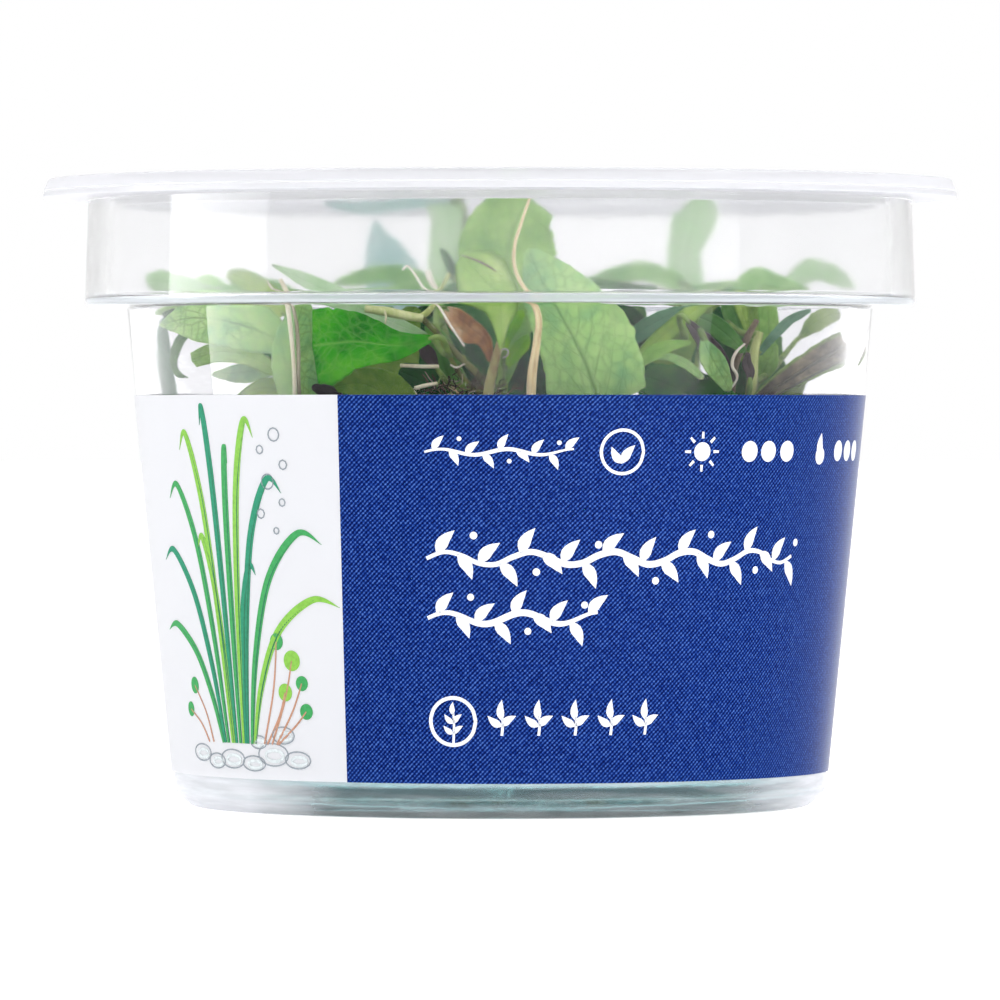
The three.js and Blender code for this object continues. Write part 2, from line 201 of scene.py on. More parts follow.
def placeLights():
    for name, plan in {**softBoxes, **reflectors}.items():
        lamp = bpy.data.lights.new(name, "AREA")
        lamp.shape = "RECTANGLE"
        lamp.size, lamp.size_y = plan["size"]
        lamp.energy = plan["watts"]
        lampObj = bpy.data.objects.new(name, lamp)
        angle = math.radians(plan["azimuth"])
        place = Vector((math.sin(angle), -math.cos(angle), 0)) * plan["reach"]
        place.z = plan["height"]
        lampObj.location = place
        aim = Vector((0, 0, room["aimHeight"])) - place
        lampObj.rotation_euler = aim.to_track_quat("-Z", "Y").to_euler()
        lampObj.visible_camera = False
        lampObj.visible_glossy = name in reflectors
        if name in reflectors:
            lampObj.rotation_euler = (math.radians(90), 0, angle)
            lampObj.visible_diffuse = False
            lampObj.visible_transmission = False
        bpy.context.scene.collection.objects.link(lampObj)
    glow = bpy.data.lights.new("ceilingGlow", "SUN")
    glow.energy = ceilingGlow["strength"]
    glow.angle = math.radians(ceilingGlow["spread"])
    glowObj = bpy.data.objects.new("ceilingGlow", glow)
    glowObj.rotation_euler = (math.radians(ceilingGlow["tilt"]), 0, 0)
    bpy.context.scene.collection.objects.link(glowObj)


def paintRoom():
    world = bpy.data.worlds.new("paleRoom")
    world.use_nodes = True
    tree = world.node_tree
    coords = addNode(tree, "TexCoord")
    split = addNode(tree, "SeparateXYZ", {"Vector": coords.outputs["Generated"]})
    toCamera = addNode(tree, "Math", [split.outputs["Y"], -room["fall"]],
                       operation="MULTIPLY", use_clamp=True)
    behindJar, behindCamera = hexColour(room["behindJar"]), hexColour(room["behindCamera"])
    shade = addNode(tree, "Mix", {0: toCamera, 6: behindJar, 7: behindCamera}, data_type="RGBA")
    feed(tree.nodes["Background"], {"Color": shade.outputs[2]})
    bpy.context.scene.world = world


def layFloor():
    dropSelection()
    bpy.ops.mesh.primitive_plane_add(size=12, location=(0, 0, 0))
    floorObj = bpy.context.object
    floorObj.name = "floor"
    # a matt white light table: it glows a little, so the shadow under the jar stays pale
    material = newMaterial("matt white acrylic, lit from below", {
        "Base Color": hexColour("#e2e2e2"), "Roughness": 0.9, "Specular IOR Level": 0.1,
        "Emission Color": hexColour("#ffffff"), "Emission Strength": 0.5,
    })[0]
    floorObj.data.materials.append(material)


placeCamera()
placeLights()
paintRoom()
layFloor()
scene = bpy.context.scene
scene.view_settings.view_transform = "Standard"
scene.cycles.use_denoising = True
scene.cycles.max_bounces = 24
scene.cycles.transmission_bounces = 20
scene.cycles.transparent_max_bounces = 16
scene.cycles.glossy_bounces = 6
scene.cycles.diffuse_bounces = 5
print("camera, lights and floor placed")


# Materials of the jar

plastic = {
    "ior": 1.49,
    "glint": "#606060",       # tones the reflections down
    "flowScale": 160.0,       # moulding flow marks, some 6 mm long
    "ringScale": 620.0, "ringSquash": 2.6, "ringShare": 0.1,     # finer rings left by the polished mould
    "bump": 0.09, "bumpDepth": 0.2,
}


def makeClearPlastic(name, haze, rough, glow=0.0, body="#f5f5f7"):
    # injection-moulded clear polypropylene: see-through, a little milky, soft reflections
    material, tree, shader = newMaterial(name, {
        "Base Color": hexColour(body), "Roughness": rough, "IOR": plastic["ior"],
        "Specular Tint": hexColour(plastic["glint"]), "Transmission Weight": 1 - haze,
    })
    # reflections and what stands far behind the wall wobble a little
    coords = addNode(tree, "TexCoord")
    flow = addNode(tree, "TexNoise", {"Vector": coords.outputs["Object"], "Scale": plastic["flowScale"],
                                      "Detail": 2.0})
    squash = addNode(tree, "Mapping", {"Vector": coords.outputs["Object"],
                                       "Scale": (1.0, 1.0, plastic["ringSquash"])})
    rings = addNode(tree, "TexNoise", {"Vector": squash, "Scale": plastic["ringScale"], "Detail": 1.0})
    faint = addNode(tree, "Math", [rings.outputs["Fac"], plastic["ringShare"]], operation="MULTIPLY")
    relief = addNode(tree, "Math", [flow.outputs["Fac"], faint], operation="ADD")
    bump = addNode(tree, "Bump", {"Height": relief, "Strength": plastic["bump"],
                                  "Distance": plastic["bumpDepth"] * mm})
    feed(shader, {"Normal": bump})
    if glow > 0:
        # milky stretches pass soft light from behind
        through = addNode(tree, "BsdfTranslucent", {"Color": hexColour(body)})
        mix = addNode(tree, "MixShader", [glow, shader, through])
        feed(tree.nodes["Material Output"], {"Surface": mix})
    return material


footMilkAndPaintedEnds = {
    "radius": 35.4, "centre": 0.1,      # the middle of the clear part, in shares of the foot's radius
    "from": 0.56, "to": 0.86, "most": 0.72,
    "clearTo": 3.1, "rise": 1.6, "upper": 0.4,      # above this height in mm it clouds again
    "clearFrom": 2.1, "lower": 0.14,
    "streakScale": 130.0, "streakSquash": 12.0, "streak": 0.5,
    "milk": "#e3e3e8",
}


def makeFootPlastic():
    # thick at the foot, the plastic turns milky along its top and bottom edges, and its left and right ends
    # are painted milky white as painted light, for the brightness light gives them there;
    # a belt between stays clear and shows the jelly
    material = makeClearPlastic("milky polypropylene at the foot, ends painted bright", 0.05, 0.08, body="#dcf4f7")
    tree = material.node_tree
    coords = addNode(tree, "TexCoord")
    split = addNode(tree, "SeparateXYZ", {"Vector": coords.outputs["Object"]})
    # painted light: the milky white rises towards the foot's left and right ends, standing in for the
    # brightness there
    place = addNode(tree, "Math", [split.outputs["X"], footMilkAndPaintedEnds["radius"] * mm], operation="DIVIDE")
    away = addNode(tree, "Math", [place, footMilkAndPaintedEnds["centre"]], operation="SUBTRACT")
    aside = addNode(tree, "Math", [away], operation="ABSOLUTE")
    past = addNode(tree, "Math", [aside, footMilkAndPaintedEnds["from"]], operation="SUBTRACT")
    reach = footMilkAndPaintedEnds["to"] - footMilkAndPaintedEnds["from"]
    sides = addNode(tree, "Math", [past, reach], operation="DIVIDE", use_clamp=True)
    sides = addNode(tree, "Math", [sides, footMilkAndPaintedEnds["most"]], operation="MULTIPLY")
    height = addNode(tree, "Math", [split.outputs["Z"], 1 / mm], operation="MULTIPLY")
    upper = addNode(tree, "Math", [height, footMilkAndPaintedEnds["clearTo"]], operation="SUBTRACT")
    upper = addNode(tree, "Math", [upper, footMilkAndPaintedEnds["rise"]], operation="MULTIPLY", use_clamp=True)
    upper = addNode(tree, "Math", [upper, footMilkAndPaintedEnds["upper"]], operation="MULTIPLY")
    lower = addNode(tree, "Math", [footMilkAndPaintedEnds["clearFrom"], height],
                    operation="SUBTRACT", use_clamp=True)
    lower = addNode(tree, "Math", [lower, footMilkAndPaintedEnds["lower"]], operation="MULTIPLY")
    edges = addNode(tree, "Math", [upper, lower], operation="ADD")
    thickest = addNode(tree, "Math", [sides, edges], operation="MAXIMUM")
    # long level streaks
    squash = addNode(tree, "Mapping", {"Vector": coords.outputs["Object"],
                                       "Scale": (1.0, 1.0, footMilkAndPaintedEnds["streakSquash"])})
    streaks = addNode(tree, "TexNoise", {"Vector": squash, "Scale": footMilkAndPaintedEnds["streakScale"], "Detail": 3.0})
    uneven = addNode(tree, "Math", [streaks.outputs["Fac"], 0.5], operation="SUBTRACT")
    streak = addNode(tree, "Math", [uneven, footMilkAndPaintedEnds["streak"]], operation="MULTIPLY")
    milkAndPaintedEnds = addNode(tree, "Math", [thickest, streak], operation="ADD", use_clamp=True)
    milk = addNode(tree, "BsdfDiffuse", {"Color": hexColour(footMilkAndPaintedEnds["milk"])})
    mix = addNode(tree, "MixShader", [milkAndPaintedEnds, tree.nodes["Principled BSDF"], milk])
    feed(tree.nodes["Material Output"], {"Surface": mix})
    return material


def makeGel():
    # set agar: water held in a clear jelly, slightly cloudy, with a grey-green cast in depth
    material, tree, shader = newMaterial("set agar jelly", {
        "Base Color": hexColour("#e6f6f4"), "Roughness": 0.06, "IOR": 1.34, "Transmission Weight": 0.93,
    })
    coords = addNode(tree, "TexCoord")
    ripple = addNode(tree, "TexNoise", {"Vector": coords.outputs["Object"], "Scale": 420.0, "Detail": 3.0})
    bump = addNode(tree, "Bump", {"Height": ripple.outputs["Fac"], "Strength": 0.25, "Distance": 0.3 * mm})
    feed(shader, {"Normal": bump})
    absorb = addNode(tree, "VolumeAbsorption", {"Color": hexColour("#4fd6da"), "Density": 9.0})
    feed(tree.nodes["Material Output"], {"Volume": absorb})
    return material


plasticClear = makeClearPlastic("clear polypropylene, moulded", 0.004, 0.04)
plasticCollar = makeClearPlastic("clear polypropylene, moulded, collar", 0.07, 0.08, body="#fcfcfd")
plasticThick = makeClearPlastic("milky polypropylene, moulded, thick", 0.45, 0.14, 0.5, body="#f8f8fa")
plasticRing = makeClearPlastic("milky polypropylene, moulded, at the step", 0.5, 0.12, 0.2, body="#e0e6ec")
plasticFoot = makeFootPlastic()
gelMaterial = makeGel()


# Cup and lid, turned from their outlines

cup = {
    "shelfZ": 54.5, "rimZ": 66.3, "rimThick": 0.7,
    "bodyTopR": 40.85, "bodySlope": 0.0996,
    "footR": 33.2, "footLift": 0.6,
    "ringInner": 1.7, "ringFrom": 1.5, "ringTo": 0.6,      # the foot ring's hollow side and flat, from footR
    "cornerZ": 1.5,
    "wall": 2.2, "floorThick": 1.3, "shelfThick": 0.8,
    "collarBottomR": 45.45, "collarTopR": 45.05, "collarWall": 2.3,
    "flangeR": 50.0,
    "smooth": 40,             # degrees up to which edges are shaded smooth
    "steps": 160,
}
lid = {
    "gap": 0.02, "topZ": 68.4, "edgeR": 49.45, "plugR": 42.3, "plugWall": 1.3,
    "plugZ": 65.3, "panelZ": 66.95, "panelThick": 0.85,
}
label = {
    "low": 3.8, "high": 44.8, "lift": 0.06, "thick": 0.14,
    "seam": 0.8,              # degrees left bare at the back
    "whiteFrom": -150.0,      # the white panel's ends, degrees from the front towards +X
    "whiteTo": -26.7,         # at the foot; the straight cut turns a little on the cone
    "whiteTurn": 1.4,
    "through": 0.13, "whiteThrough": 0.24,     # light let through, and what the white adds
}
outline = {"arcSteps": 5, "brace": 0.25, "mostOfSide": 0.49}     # mm and shares


def bodyR(z):
    return cup["bodyTopR"] - (cup["shelfZ"] - z) * cup["bodySlope"]


def roundedOutline(corners):
    # corners are (radius, height, rounding), in mm; a rounding of 0 stays sharp
    points = []
    for i, (r, z, rounding) in enumerate(corners):
        here = Vector((r, z))
        if rounding == 0:
            points.append(here)
            continue
        back = Vector(corners[i - 1][:2]) - here
        ahead = Vector(corners[i + 1][:2]) - here
        half = back.angle(ahead) / 2
        most = outline["mostOfSide"]
        reach = min(rounding / math.tan(half), back.length * most, ahead.length * most)
        start = here + back.normalized() * reach
        end = here + ahead.normalized() * reach
        # a point just before and after the rounding keeps the long faces beside it flat
        brace = min(outline["brace"], reach)
        if back.length > reach + brace * 3:
            points.append(start + back.normalized() * brace)
        for k in range(outline["arcSteps"] + 1):
            t = k / outline["arcSteps"]
            points.append(start * (1 - t) ** 2 + here * 2 * t * (1 - t) + end * t ** 2)
        if ahead.length > reach + brace * 3:
            points.append(end + ahead.normalized() * brace)
    return points


def spinOutline(points, steps):
    # one point is drawn out along the outline and spun round the jar's axis
    dropSelection()
    bpy.ops.mesh.primitive_plane_add(size=1 * mm)
    obj = bpy.context.object
    bpy.ops.object.mode_set(mode="EDIT")
    bpy.ops.mesh.select_all(action="SELECT")
    bpy.ops.mesh.merge(type="CENTER")
    bpy.ops.transform.translate(value=(points[0].x * mm, 0, points[0].y * mm))
    for before, after in zip(points, points[1:]):
        move = (after - before) * mm
        bpy.ops.mesh.extrude_region_move(TRANSFORM_OT_translate={"value": (move.x, 0, move.y)})
    bpy.ops.mesh.select_all(action="SELECT")
    bpy.ops.mesh.spin(steps=steps, angle=math.tau, center=(0, 0, 0), axis=(0, 0, 1))
    weldMesh()
    return obj


def buildCup():
    innerTop = cup["shelfZ"] + cup["shelfThick"]
    innerFloor = cup["footLift"] + cup["floorThick"]
    innerCollarR = cup["collarBottomR"] - cup["collarWall"]
    rimTop = cup["rimZ"] + cup["rimThick"]
    innerR = bodyR(cup["shelfZ"]) - cup["wall"]
    cornerZ = cup["cornerZ"]
    labelFoot = label["low"] + 0.5
    corners = [
        (0, cup["footLift"], 0), (cup["footR"] - cup["ringInner"], cup["footLift"], 0.4),
        (cup["footR"] - cup["ringFrom"], 0, 0.3), (cup["footR"] + cup["ringTo"], 0, 1.2),
        (bodyR(cornerZ), cornerZ, 1.8), (bodyR(labelFoot), labelFoot, 0),
        (cup["bodyTopR"], cup["shelfZ"], 0.25), (cup["collarBottomR"], cup["shelfZ"], 0.8),
        (cup["collarTopR"], cup["rimZ"], 0.3), (cup["flangeR"], cup["rimZ"], 0.2),
        (cup["flangeR"], rimTop, 0.15), (cup["collarTopR"] - cup["collarWall"], rimTop, 0.3),
        (innerCollarR, innerTop, 0.35), (innerR, innerTop, 0.5),
        (bodyR(innerFloor) - cup["wall"], innerFloor, 2.6), (0, innerFloor, 0),
    ]
    obj = spinOutline(roundedOutline(corners), cup["steps"])
    smooth(obj, cup["smooth"])
    seat(obj, "cup_clear", plasticClear, ["cup"])
    # the collar is a little hazier than the body; shelf, rim and base corner are milky, and the base
    # corner's left and right ends carry painted light
    for material in (plasticCollar, plasticThick, plasticRing, plasticFoot):
        obj.data.materials.append(material)
    collar, rim, shelf, foot = 1, 2, 3, 4
    for face in obj.data.polygons:
        z = face.center.z / mm
        radius = math.hypot(face.center.x, face.center.y) / mm
        if z > cup["rimZ"] - 0.2:
            face.material_index = rim
        elif cup["shelfZ"] - 0.1 < z < innerTop + 0.1 and radius > innerCollarR:
            face.material_index = shelf
        elif z > cup["shelfZ"] - 0.1:
            face.material_index = collar
        elif z < label["low"] + 0.4 and radius > cup["footR"]:
            face.material_index = foot


def buildLid():
    lowZ = cup["rimZ"] + cup["rimThick"] + lid["gap"]
    innerR = lid["plugR"] - lid["plugWall"]
    panelTop = lid["panelZ"] + lid["panelThick"]
    corners = [
        (0, lid["panelZ"], 0), (innerR, lid["panelZ"], 0.3), (innerR + 0.2, lid["plugZ"], 0.3),
        (lid["plugR"] - 0.1, lid["plugZ"], 0.3), (lid["plugR"], lowZ, 0.2),
        (cup["flangeR"] - 0.02, lowZ, 0.15), (lid["edgeR"], lid["topZ"], 0.35),
        (lid["plugR"] + 0.4, lid["topZ"], 0.4), (innerR, panelTop, 0.5), (0, panelTop, 0),
    ]
    obj = spinOutline(roundedOutline(corners), cup["steps"])
    smooth(obj, cup["smooth"])
    seat(obj, "lid_clear", plasticCollar, ["lid"])
    # the flange and the plug ring are milky, the panel is clear
    obj.data.materials.append(plasticThick)
    for face in obj.data.polygons:
        if math.hypot(face.center.x, face.center.y) > (innerR + 0.1) * mm:
            face.material_index = 1


gel = {"topZ": 13.6, "contact": 0.02, "meniscus": 0.9, "steps": 96}


def buildGel():
    # the jelly meets the wall and creeps up it in a small meniscus
    floorZ = cup["footLift"] + cup["floorThick"] - gel["contact"]
    wallR = bodyR(floorZ) - cup["wall"] + gel["contact"]
    topR = bodyR(gel["topZ"]) - cup["wall"] + gel["contact"]
    corners = [
        (0, floorZ, 0), (wallR, floorZ, 2.6), (topR, gel["topZ"] + gel["meniscus"], 0),
        (topR - 0.5, gel["topZ"] + 0.25, 0.4), (topR - 2.2, gel["topZ"], 0.8), (0, gel["topZ"], 0),
    ]
    obj = spinOutline(roundedOutline(corners), gel["steps"])
    smooth(obj, cup["smooth"])
    seat(obj, "gel_agar", gelMaterial, ["gel"])


buildCup()
buildLid()
buildGel()
print("cup, lid and gel turned")


# Label: a printed film with a white and a blue panel

screen = {
    # the fine dots of the printed blue, in mm, measured round the cup at one height
    "spacing": 0.36, "atZ": 24, "rising": 0.14, "falling": 0.30,
    "grainScale": 3400.0, "grain": 0.8,
}


def makeLabelFilm():
    # self-adhesive polypropylene film, screen-printed: a satin face with a fine dot pattern in the blue
    # its gloss is low, and a sheen turns it pale where it curves away
    material, tree, shader = newMaterial("printed film, satin", {
        "Roughness": 0.42, "IOR": 1.5, "Specular IOR Level": 0.015,
        "Sheen Weight": 0.7, "Sheen Roughness": 0.26,
    })
    coords = addNode(tree, "TexCoord")
    split = addNode(tree, "SeparateXYZ", {"Vector": coords.outputs["Object"]})
    toFront = addNode(tree, "Math", [split.outputs["Y"], -1.0], operation="MULTIPLY")
    angle = addNode(tree, "Math", [split.outputs["X"], toFront], operation="ARCTAN2")
    degrees = addNode(tree, "Math", [angle, 180 / math.pi], operation="MULTIPLY")
    roundMm = addNode(tree, "Math", [angle, bodyR(screen["atZ"])], operation="MULTIPLY")
    heightMm = addNode(tree, "Math", [split.outputs["Z"], 1 / mm], operation="MULTIPLY")
    # the dots sit on a screen turned by 45 degrees
    waveScale = math.tau / screen["spacing"] / math.sqrt(2)
    waves = []
    for way, strength in (("ADD", screen["rising"]), ("SUBTRACT", screen["falling"])):
        diagonal = addNode(tree, "Math", [roundMm, heightMm], operation=way)
        turned = addNode(tree, "Math", [diagonal, waveScale], operation="MULTIPLY")
        wave = addNode(tree, "Math", [turned], operation="SINE")
        waves.append(addNode(tree, "Math", [wave, strength], operation="MULTIPLY"))
    dots = addNode(tree, "Math", [waves[0], waves[1]], operation="ADD")
    dots = addNode(tree, "Math", [dots, 0.5], operation="ADD")
    grain = addNode(tree, "TexNoise", {"Vector": coords.outputs["Object"], "Scale": screen["grainScale"],
                                       "Detail": 1.0})
    uneven = addNode(tree, "Math", [grain.outputs["Fac"], 0.5], operation="SUBTRACT")
    uneven = addNode(tree, "Math", [uneven, screen["grain"]], operation="MULTIPLY")
    level = addNode(tree, "Math", [dots, uneven], operation="ADD")
    blue = addNode(tree, "ValToRGB", {"Fac": level}, [
        (0.12, hexColour("#00083f")), (0.42, hexColour("#08236a")),
        (0.68, hexColour("#163a8c")), (0.95, hexColour("#4f74bc")),
    ])
    # the white panel, its cut leaning a little
    fromLeft = addNode(tree, "Math", [degrees, label["whiteFrom"]], operation="GREATER_THAN")
    upShare = addNode(tree, "Math", [heightMm, label["low"]], operation="SUBTRACT")
    upShare = addNode(tree, "Math", [upShare, label["high"] - label["low"]], operation="DIVIDE")
    lean = addNode(tree, "Math", [upShare, label["whiteTurn"]], operation="MULTIPLY")
    cut = addNode(tree, "Math", [lean, label["whiteTo"]], operation="ADD")
    toRight = addNode(tree, "Math", [degrees, cut], operation="LESS_THAN")
    isWhite = addNode(tree, "Math", [fromLeft, toRight], operation="MULTIPLY")
    colour = addNode(tree, "Mix", {0: isWhite, 6: blue, 7: hexColour("#f0f0f4")}, data_type="RGBA")
    bump = addNode(tree, "Bump", {"Height": grain.outputs["Fac"], "Strength": 0.08, "Distance": 0.04 * mm})
    feed(shader, {"Base Color": colour.outputs[2], "Normal": bump})
    # the unprinted white lets more light into the jar than the blue
    tint = addNode(tree, "Mix", {0: isWhite, 6: hexColour("#5f7fc4"), 7: hexColour("#f4f4f6")},
                   data_type="RGBA")
    through = addNode(tree, "BsdfTranslucent", {"Color": tint.outputs[2]})
    share = addNode(tree, "Math", [isWhite, label["whiteThrough"]], operation="MULTIPLY")
    share = addNode(tree, "Math", [share, label["through"]], operation="ADD")
    mix = addNode(tree, "MixShader", [share, shader, through])
    feed(tree.nodes["Material Output"], {"Surface": mix})
    return material


def makeFilmBack():
    # the glued side of the film is plain white
    material, tree, shader = newMaterial("film back, white", {
        "Base Color": hexColour("#eceeee"), "Roughness": 0.6, "Specular IOR Level": 0.1,
    })
    through = addNode(tree, "BsdfTranslucent", {"Color": hexColour("#f4f4f6")})
    mix = addNode(tree, "MixShader", [0.4, shader, through])
    feed(tree.nodes["Material Output"], {"Surface": mix})
    return material


def labelR(z):
    return bodyR(z) + label["lift"] + label["thick"]


def onLabel(degrees, z, lift=0.0):
    angle = math.radians(degrees)
    radius = labelR(z) + lift
    return Vector((radius * math.sin(angle), -radius * math.cos(angle), z)) * mm


def buildLabel():
    # a flat strip is wrapped round the cone, then given its thickness
    dropSelection()
    bpy.ops.mesh.primitive_grid_add(x_subdivisions=240, y_subdivisions=8, size=1)
    obj = bpy.context.object
    span = 360 - label["seam"]
    for vert in obj.data.vertices:
        degrees = vert.co.x * span
        z = label["low"] + (vert.co.y + 0.5) * (label["high"] - label["low"])
        vert.co = onLabel(degrees, z)
    applyModifier(obj, "SOLIDIFY", thickness=label["thick"] * mm, offset=-1, use_rim=True)
    smooth(obj, cup["smooth"])
    seat(obj, "label_film", makeLabelFilm(), ["label"])
    obj.data.materials.append(makeFilmBack())
    for face in obj.data.polygons:
        outward = Vector((face.center.x, face.center.y, 0))
        if face.normal.dot(outward) < 0:
            face.material_index = 1


buildLabel()
print("label wrapped")


# Print on the label: plain ornaments in flat ink

prints = {
    "radius": 38.5,          # the flat drawing is rolled round at this radius
    "lift": 0.05, "thick": 0.04, "strokeStep": 0.35,
    "left": -7.8,            # the blue panel's left margin, mm along the label from the front
    "vineZ": 27.6, "vineEnd": 36.4, "lowerVineZ": 21.3, "lowerVineEnd": 10.6,
    "rowZ": 38.8, "ringS": 12.8, "sunS": 22.0, "dropS": 40.6,
    "dotR": 1.12, "dots": (28.3, 31.1, 34.1, 45.2, 48.2, 51.2),
    "footZ": 10.4, "sprouts": 5, "sproutS": 0.2, "sproutStep": 4.1,
}
inkColours = {
    "white": "#eceef4", "leafGreen": "#3f9a58", "lime": "#83bb4c", "teal": "#2c8a6a", "shade": "#2b6e50",
    "stalkRed": "#b98a72", "pencil": "#8f979e", "wash": "#cfd6d8",
}


def makeInk(name, code):
    # screen ink: dense and flat, a little duller than the film, with a fine tooth
    material, tree, shader = newMaterial(name, {"Roughness": 0.55, "IOR": 1.5, "Specular IOR Level": 0.05})
    colour = hexColour(code)
    thin = [channel * 0.8 for channel in colour[:3]] + [1.0]
    coords = addNode(tree, "TexCoord")
    tooth = addNode(tree, "TexNoise", {"Vector": coords.outputs["Object"], "Scale": 2600.0, "Detail": 2.0})
    shade = addNode(tree, "ValToRGB", {"Fac": tooth.outputs["Fac"]}, [(0.3, thin), (0.6, colour)])
    feed(shader, {"Base Color": shade})
    return material


inkMaterials = {ink: makeInk(f"screen ink, {ink}", code) for ink, code in inkColours.items()}
inkPieces = {ink: [] for ink in inkColours}


def rollOn(flat):
    return onLabel(math.degrees(flat.x / prints["radius"]), flat.y, prints["lift"])


def inkStroke(ink, path, widths):
    # a strip drawn along points of the flat drawing, its half widths given from start to end
    points = [Vector(point) for point in path]
    length = sum((b - a).length for a, b in zip(points, points[1:]))
    steps = max(8, int(length / prints["strokeStep"]))
    dropSelection()
    bpy.ops.mesh.primitive_grid_add(x_subdivisions=steps, y_subdivisions=2, size=1)
    obj = bpy.context.object
    for vert in obj.data.vertices:
        u, v = vert.co.x + 0.5, vert.co.y * 2
        along = alongPath(points, min(u + 0.01, 1)) - alongPath(points, max(u - 0.01, 0))
        side = Vector((-along.y, along.x)).normalized()
        vert.co = rollOn(alongPath(points, u) + side * v * max(alongPath(widths, u), 0.02))
    inkPieces[ink].append(obj)


def inkDot(ink, s, z, radius):
    dropSelection()
    bpy.ops.mesh.primitive_circle_add(vertices=28, radius=radius, fill_type="TRIFAN")
    obj = bpy.context.object
    for vert in obj.data.vertices:
        vert.co = rollOn(Vector((s + vert.co.x, z + vert.co.y)))
    inkPieces[ink].append(obj)


def inkRing(ink, s, z, across, tall, line):
    path = [(s + across * math.cos(math.tau * k / 12), z + tall * math.sin(math.tau * k / 12))
            for k in range(13)]
    inkStroke(ink, path, (line, line))


def inkLeaf(ink, s, z, angle, length, broad):
    # a pointed leaf from (s, z) outwards, its tip bent a little
    way = Vector((math.cos(math.radians(angle)), math.sin(math.radians(angle))))
    bend = Vector((-way.y, way.x)) * length * 0.08
    root = Vector((s, z))
    inkStroke(ink, [root, root + way * length * 0.5 + bend, root + way * length],
              (0.05, broad, broad * 0.7, 0.0))


def inkVine(sTo, z, swing, leafCount, leafLength, line=0.34):
    # a waving stem from the left margin, with leaves set up and down in turn
    sFrom = prints["left"]
    stem = [(sFrom + (sTo - sFrom) * k / 24, z + swing * math.sin(k * math.pi * leafCount / 48))
            for k in range(25)]
    inkStroke("white", stem, (line * 0.6, line, line, line * 0.5))
    for k in range(leafCount):
        share = (k + 0.5) / leafCount
        s = sFrom + (sTo - sFrom) * share
        foot = z + swing * math.sin(share * math.pi * leafCount / 2)
        up = 1 if k % 2 == 0 else -1
        inkLeaf("white", s, foot, up * (52 + 10 * math.sin(k * 2.1)), leafLength, leafLength * 0.21)
        if k % 3 == 1:
            inkDot("white", s + leafLength * 0.55, foot - up * leafLength * 0.62, leafLength * 0.13)


def printTopRow():
    # a sprig, a sprout in a ring, a sun and a drop, with rows of dots
    row, ringS, sunS, dropS = prints["rowZ"], prints["ringS"], prints["sunS"], prints["dropS"]
    inkVine(prints["left"] + 15.4, row, 0.3, 9, 1.9, 0.2)
    inkRing("white", ringS, row, 2.3, 2.3, 0.17)
    inkLeaf("white", ringS, row - 1.2, 55, 2.3, 0.5)
    inkLeaf("white", ringS, row - 1.2, 125, 2.1, 0.45)
    inkDot("white", sunS, row, 1.0)
    for k in range(8):
        ray = math.tau * k / 8
        start = Vector((sunS + 1.4 * math.cos(ray), row + 1.4 * math.sin(ray)))
        end = Vector((sunS + 2.1 * math.cos(ray), row + 2.1 * math.sin(ray)))
        inkStroke("white", [start, (start + end) / 2, end], (0.16, 0.12))
    inkDot("white", dropS, row - 0.5, 0.95)
    inkLeaf("white", dropS, row - 0.6, 90, 2.5, 0.62)
    for s in prints["dots"]:
        inkDot("white", s, row, prints["dotR"])


def printFootRow():
    # a ringed sprig and a row of small leaves
    foot = prints["footZ"]
    ringS = prints["left"] + 2.6
    inkRing("white", ringS, foot, 2.5, 2.5, 0.2)
    inkStroke("white", [(ringS, foot - 2.4), (ringS + 0.1, foot - 0.4), (ringS, foot + 1.3)], (0.14, 0.1))
    for z, angle in ((-1.3, 38), (-1.3, 142), (-0.2, 45), (-0.2, 135), (0.7, 90)):
        inkLeaf("white", ringS, foot + z, angle, 1.35, 0.3)
    for k in range(prints["sprouts"]):
        s = prints["sproutS"] + k * prints["sproutStep"]
        inkStroke("white", [(s, foot - 1.5), (s + 0.1, foot - 0.3), (s, foot + 0.8)], (0.16, 0.12))
        for angle, length in ((35, 1.9), (90, 2.2), (145, 1.9)):
            inkLeaf("white", s, foot - 0.5 + (angle == 90) * 0.6, angle, length, 0.42)


panelArt = {
    "baseS": -33.5, "baseZ": 7.6,
    # ribbon leaves: where they leave the clump, how far they lean, how high they reach
    "ribbons": ((-2.6, -8.2, 20.5, "teal"), (-2.0, -6.4, 27.5, "leafGreen"), (-1.2, -4.4, 33.0, "lime"),
                (-0.5, -1.6, 35.8, "teal"), (0.2, 1.0, 31.5, "leafGreen"), (0.8, 3.6, 34.4, "lime"),
                (1.5, 5.6, 28.2, "teal"), (2.2, 8.6, 22.5, "leafGreen"), (2.7, 9.6, 15.5, "lime"),
                (-3.0, -8.8, 12.5, "leafGreen"), (-0.9, -3.0, 22.0, "lime"), (1.2, 2.6, 19.0, "teal")),
    "ribbonWidth": 0.46,
    # round leaves: where each stands, and its radius
    "roundStems": ((-25.6, 13.2, 0.95), (-24.4, 16.6, 1.1), (-26.4, 18.6, 0.9), (-22.8, 11.2, 0.85),
                   (-23.2, 14.2, 0.8), (-42.0, 13.6, 0.9), (-43.6, 11.0, 0.8)),
    # pebbles: place, half width and half height; bubbles: place and radius
    "pebbles": ((-41.5, 6.4, 2.0, 0.9), (-38.2, 5.6, 1.7, 0.8), (-35.0, 5.9, 2.2, 1.0),
                (-31.2, 5.5, 1.9, 0.8), (-28.0, 6.5, 2.3, 1.2), (-24.4, 6.0, 1.8, 0.9),
                (-26.3, 8.6, 1.6, 0.9), (-30.2, 7.8, 1.3, 0.7)),
    "bubbles": ((-25.0, 40.6, 0.7), (-27.0, 39.0, 0.45), (-24.0, 37.4, 0.5), (-26.2, 35.6, 0.8),
                (-24.4, 33.4, 0.4), (-27.4, 32.2, 0.5), (-25.4, 30.4, 0.35)),
    "outline": 0.07,
}


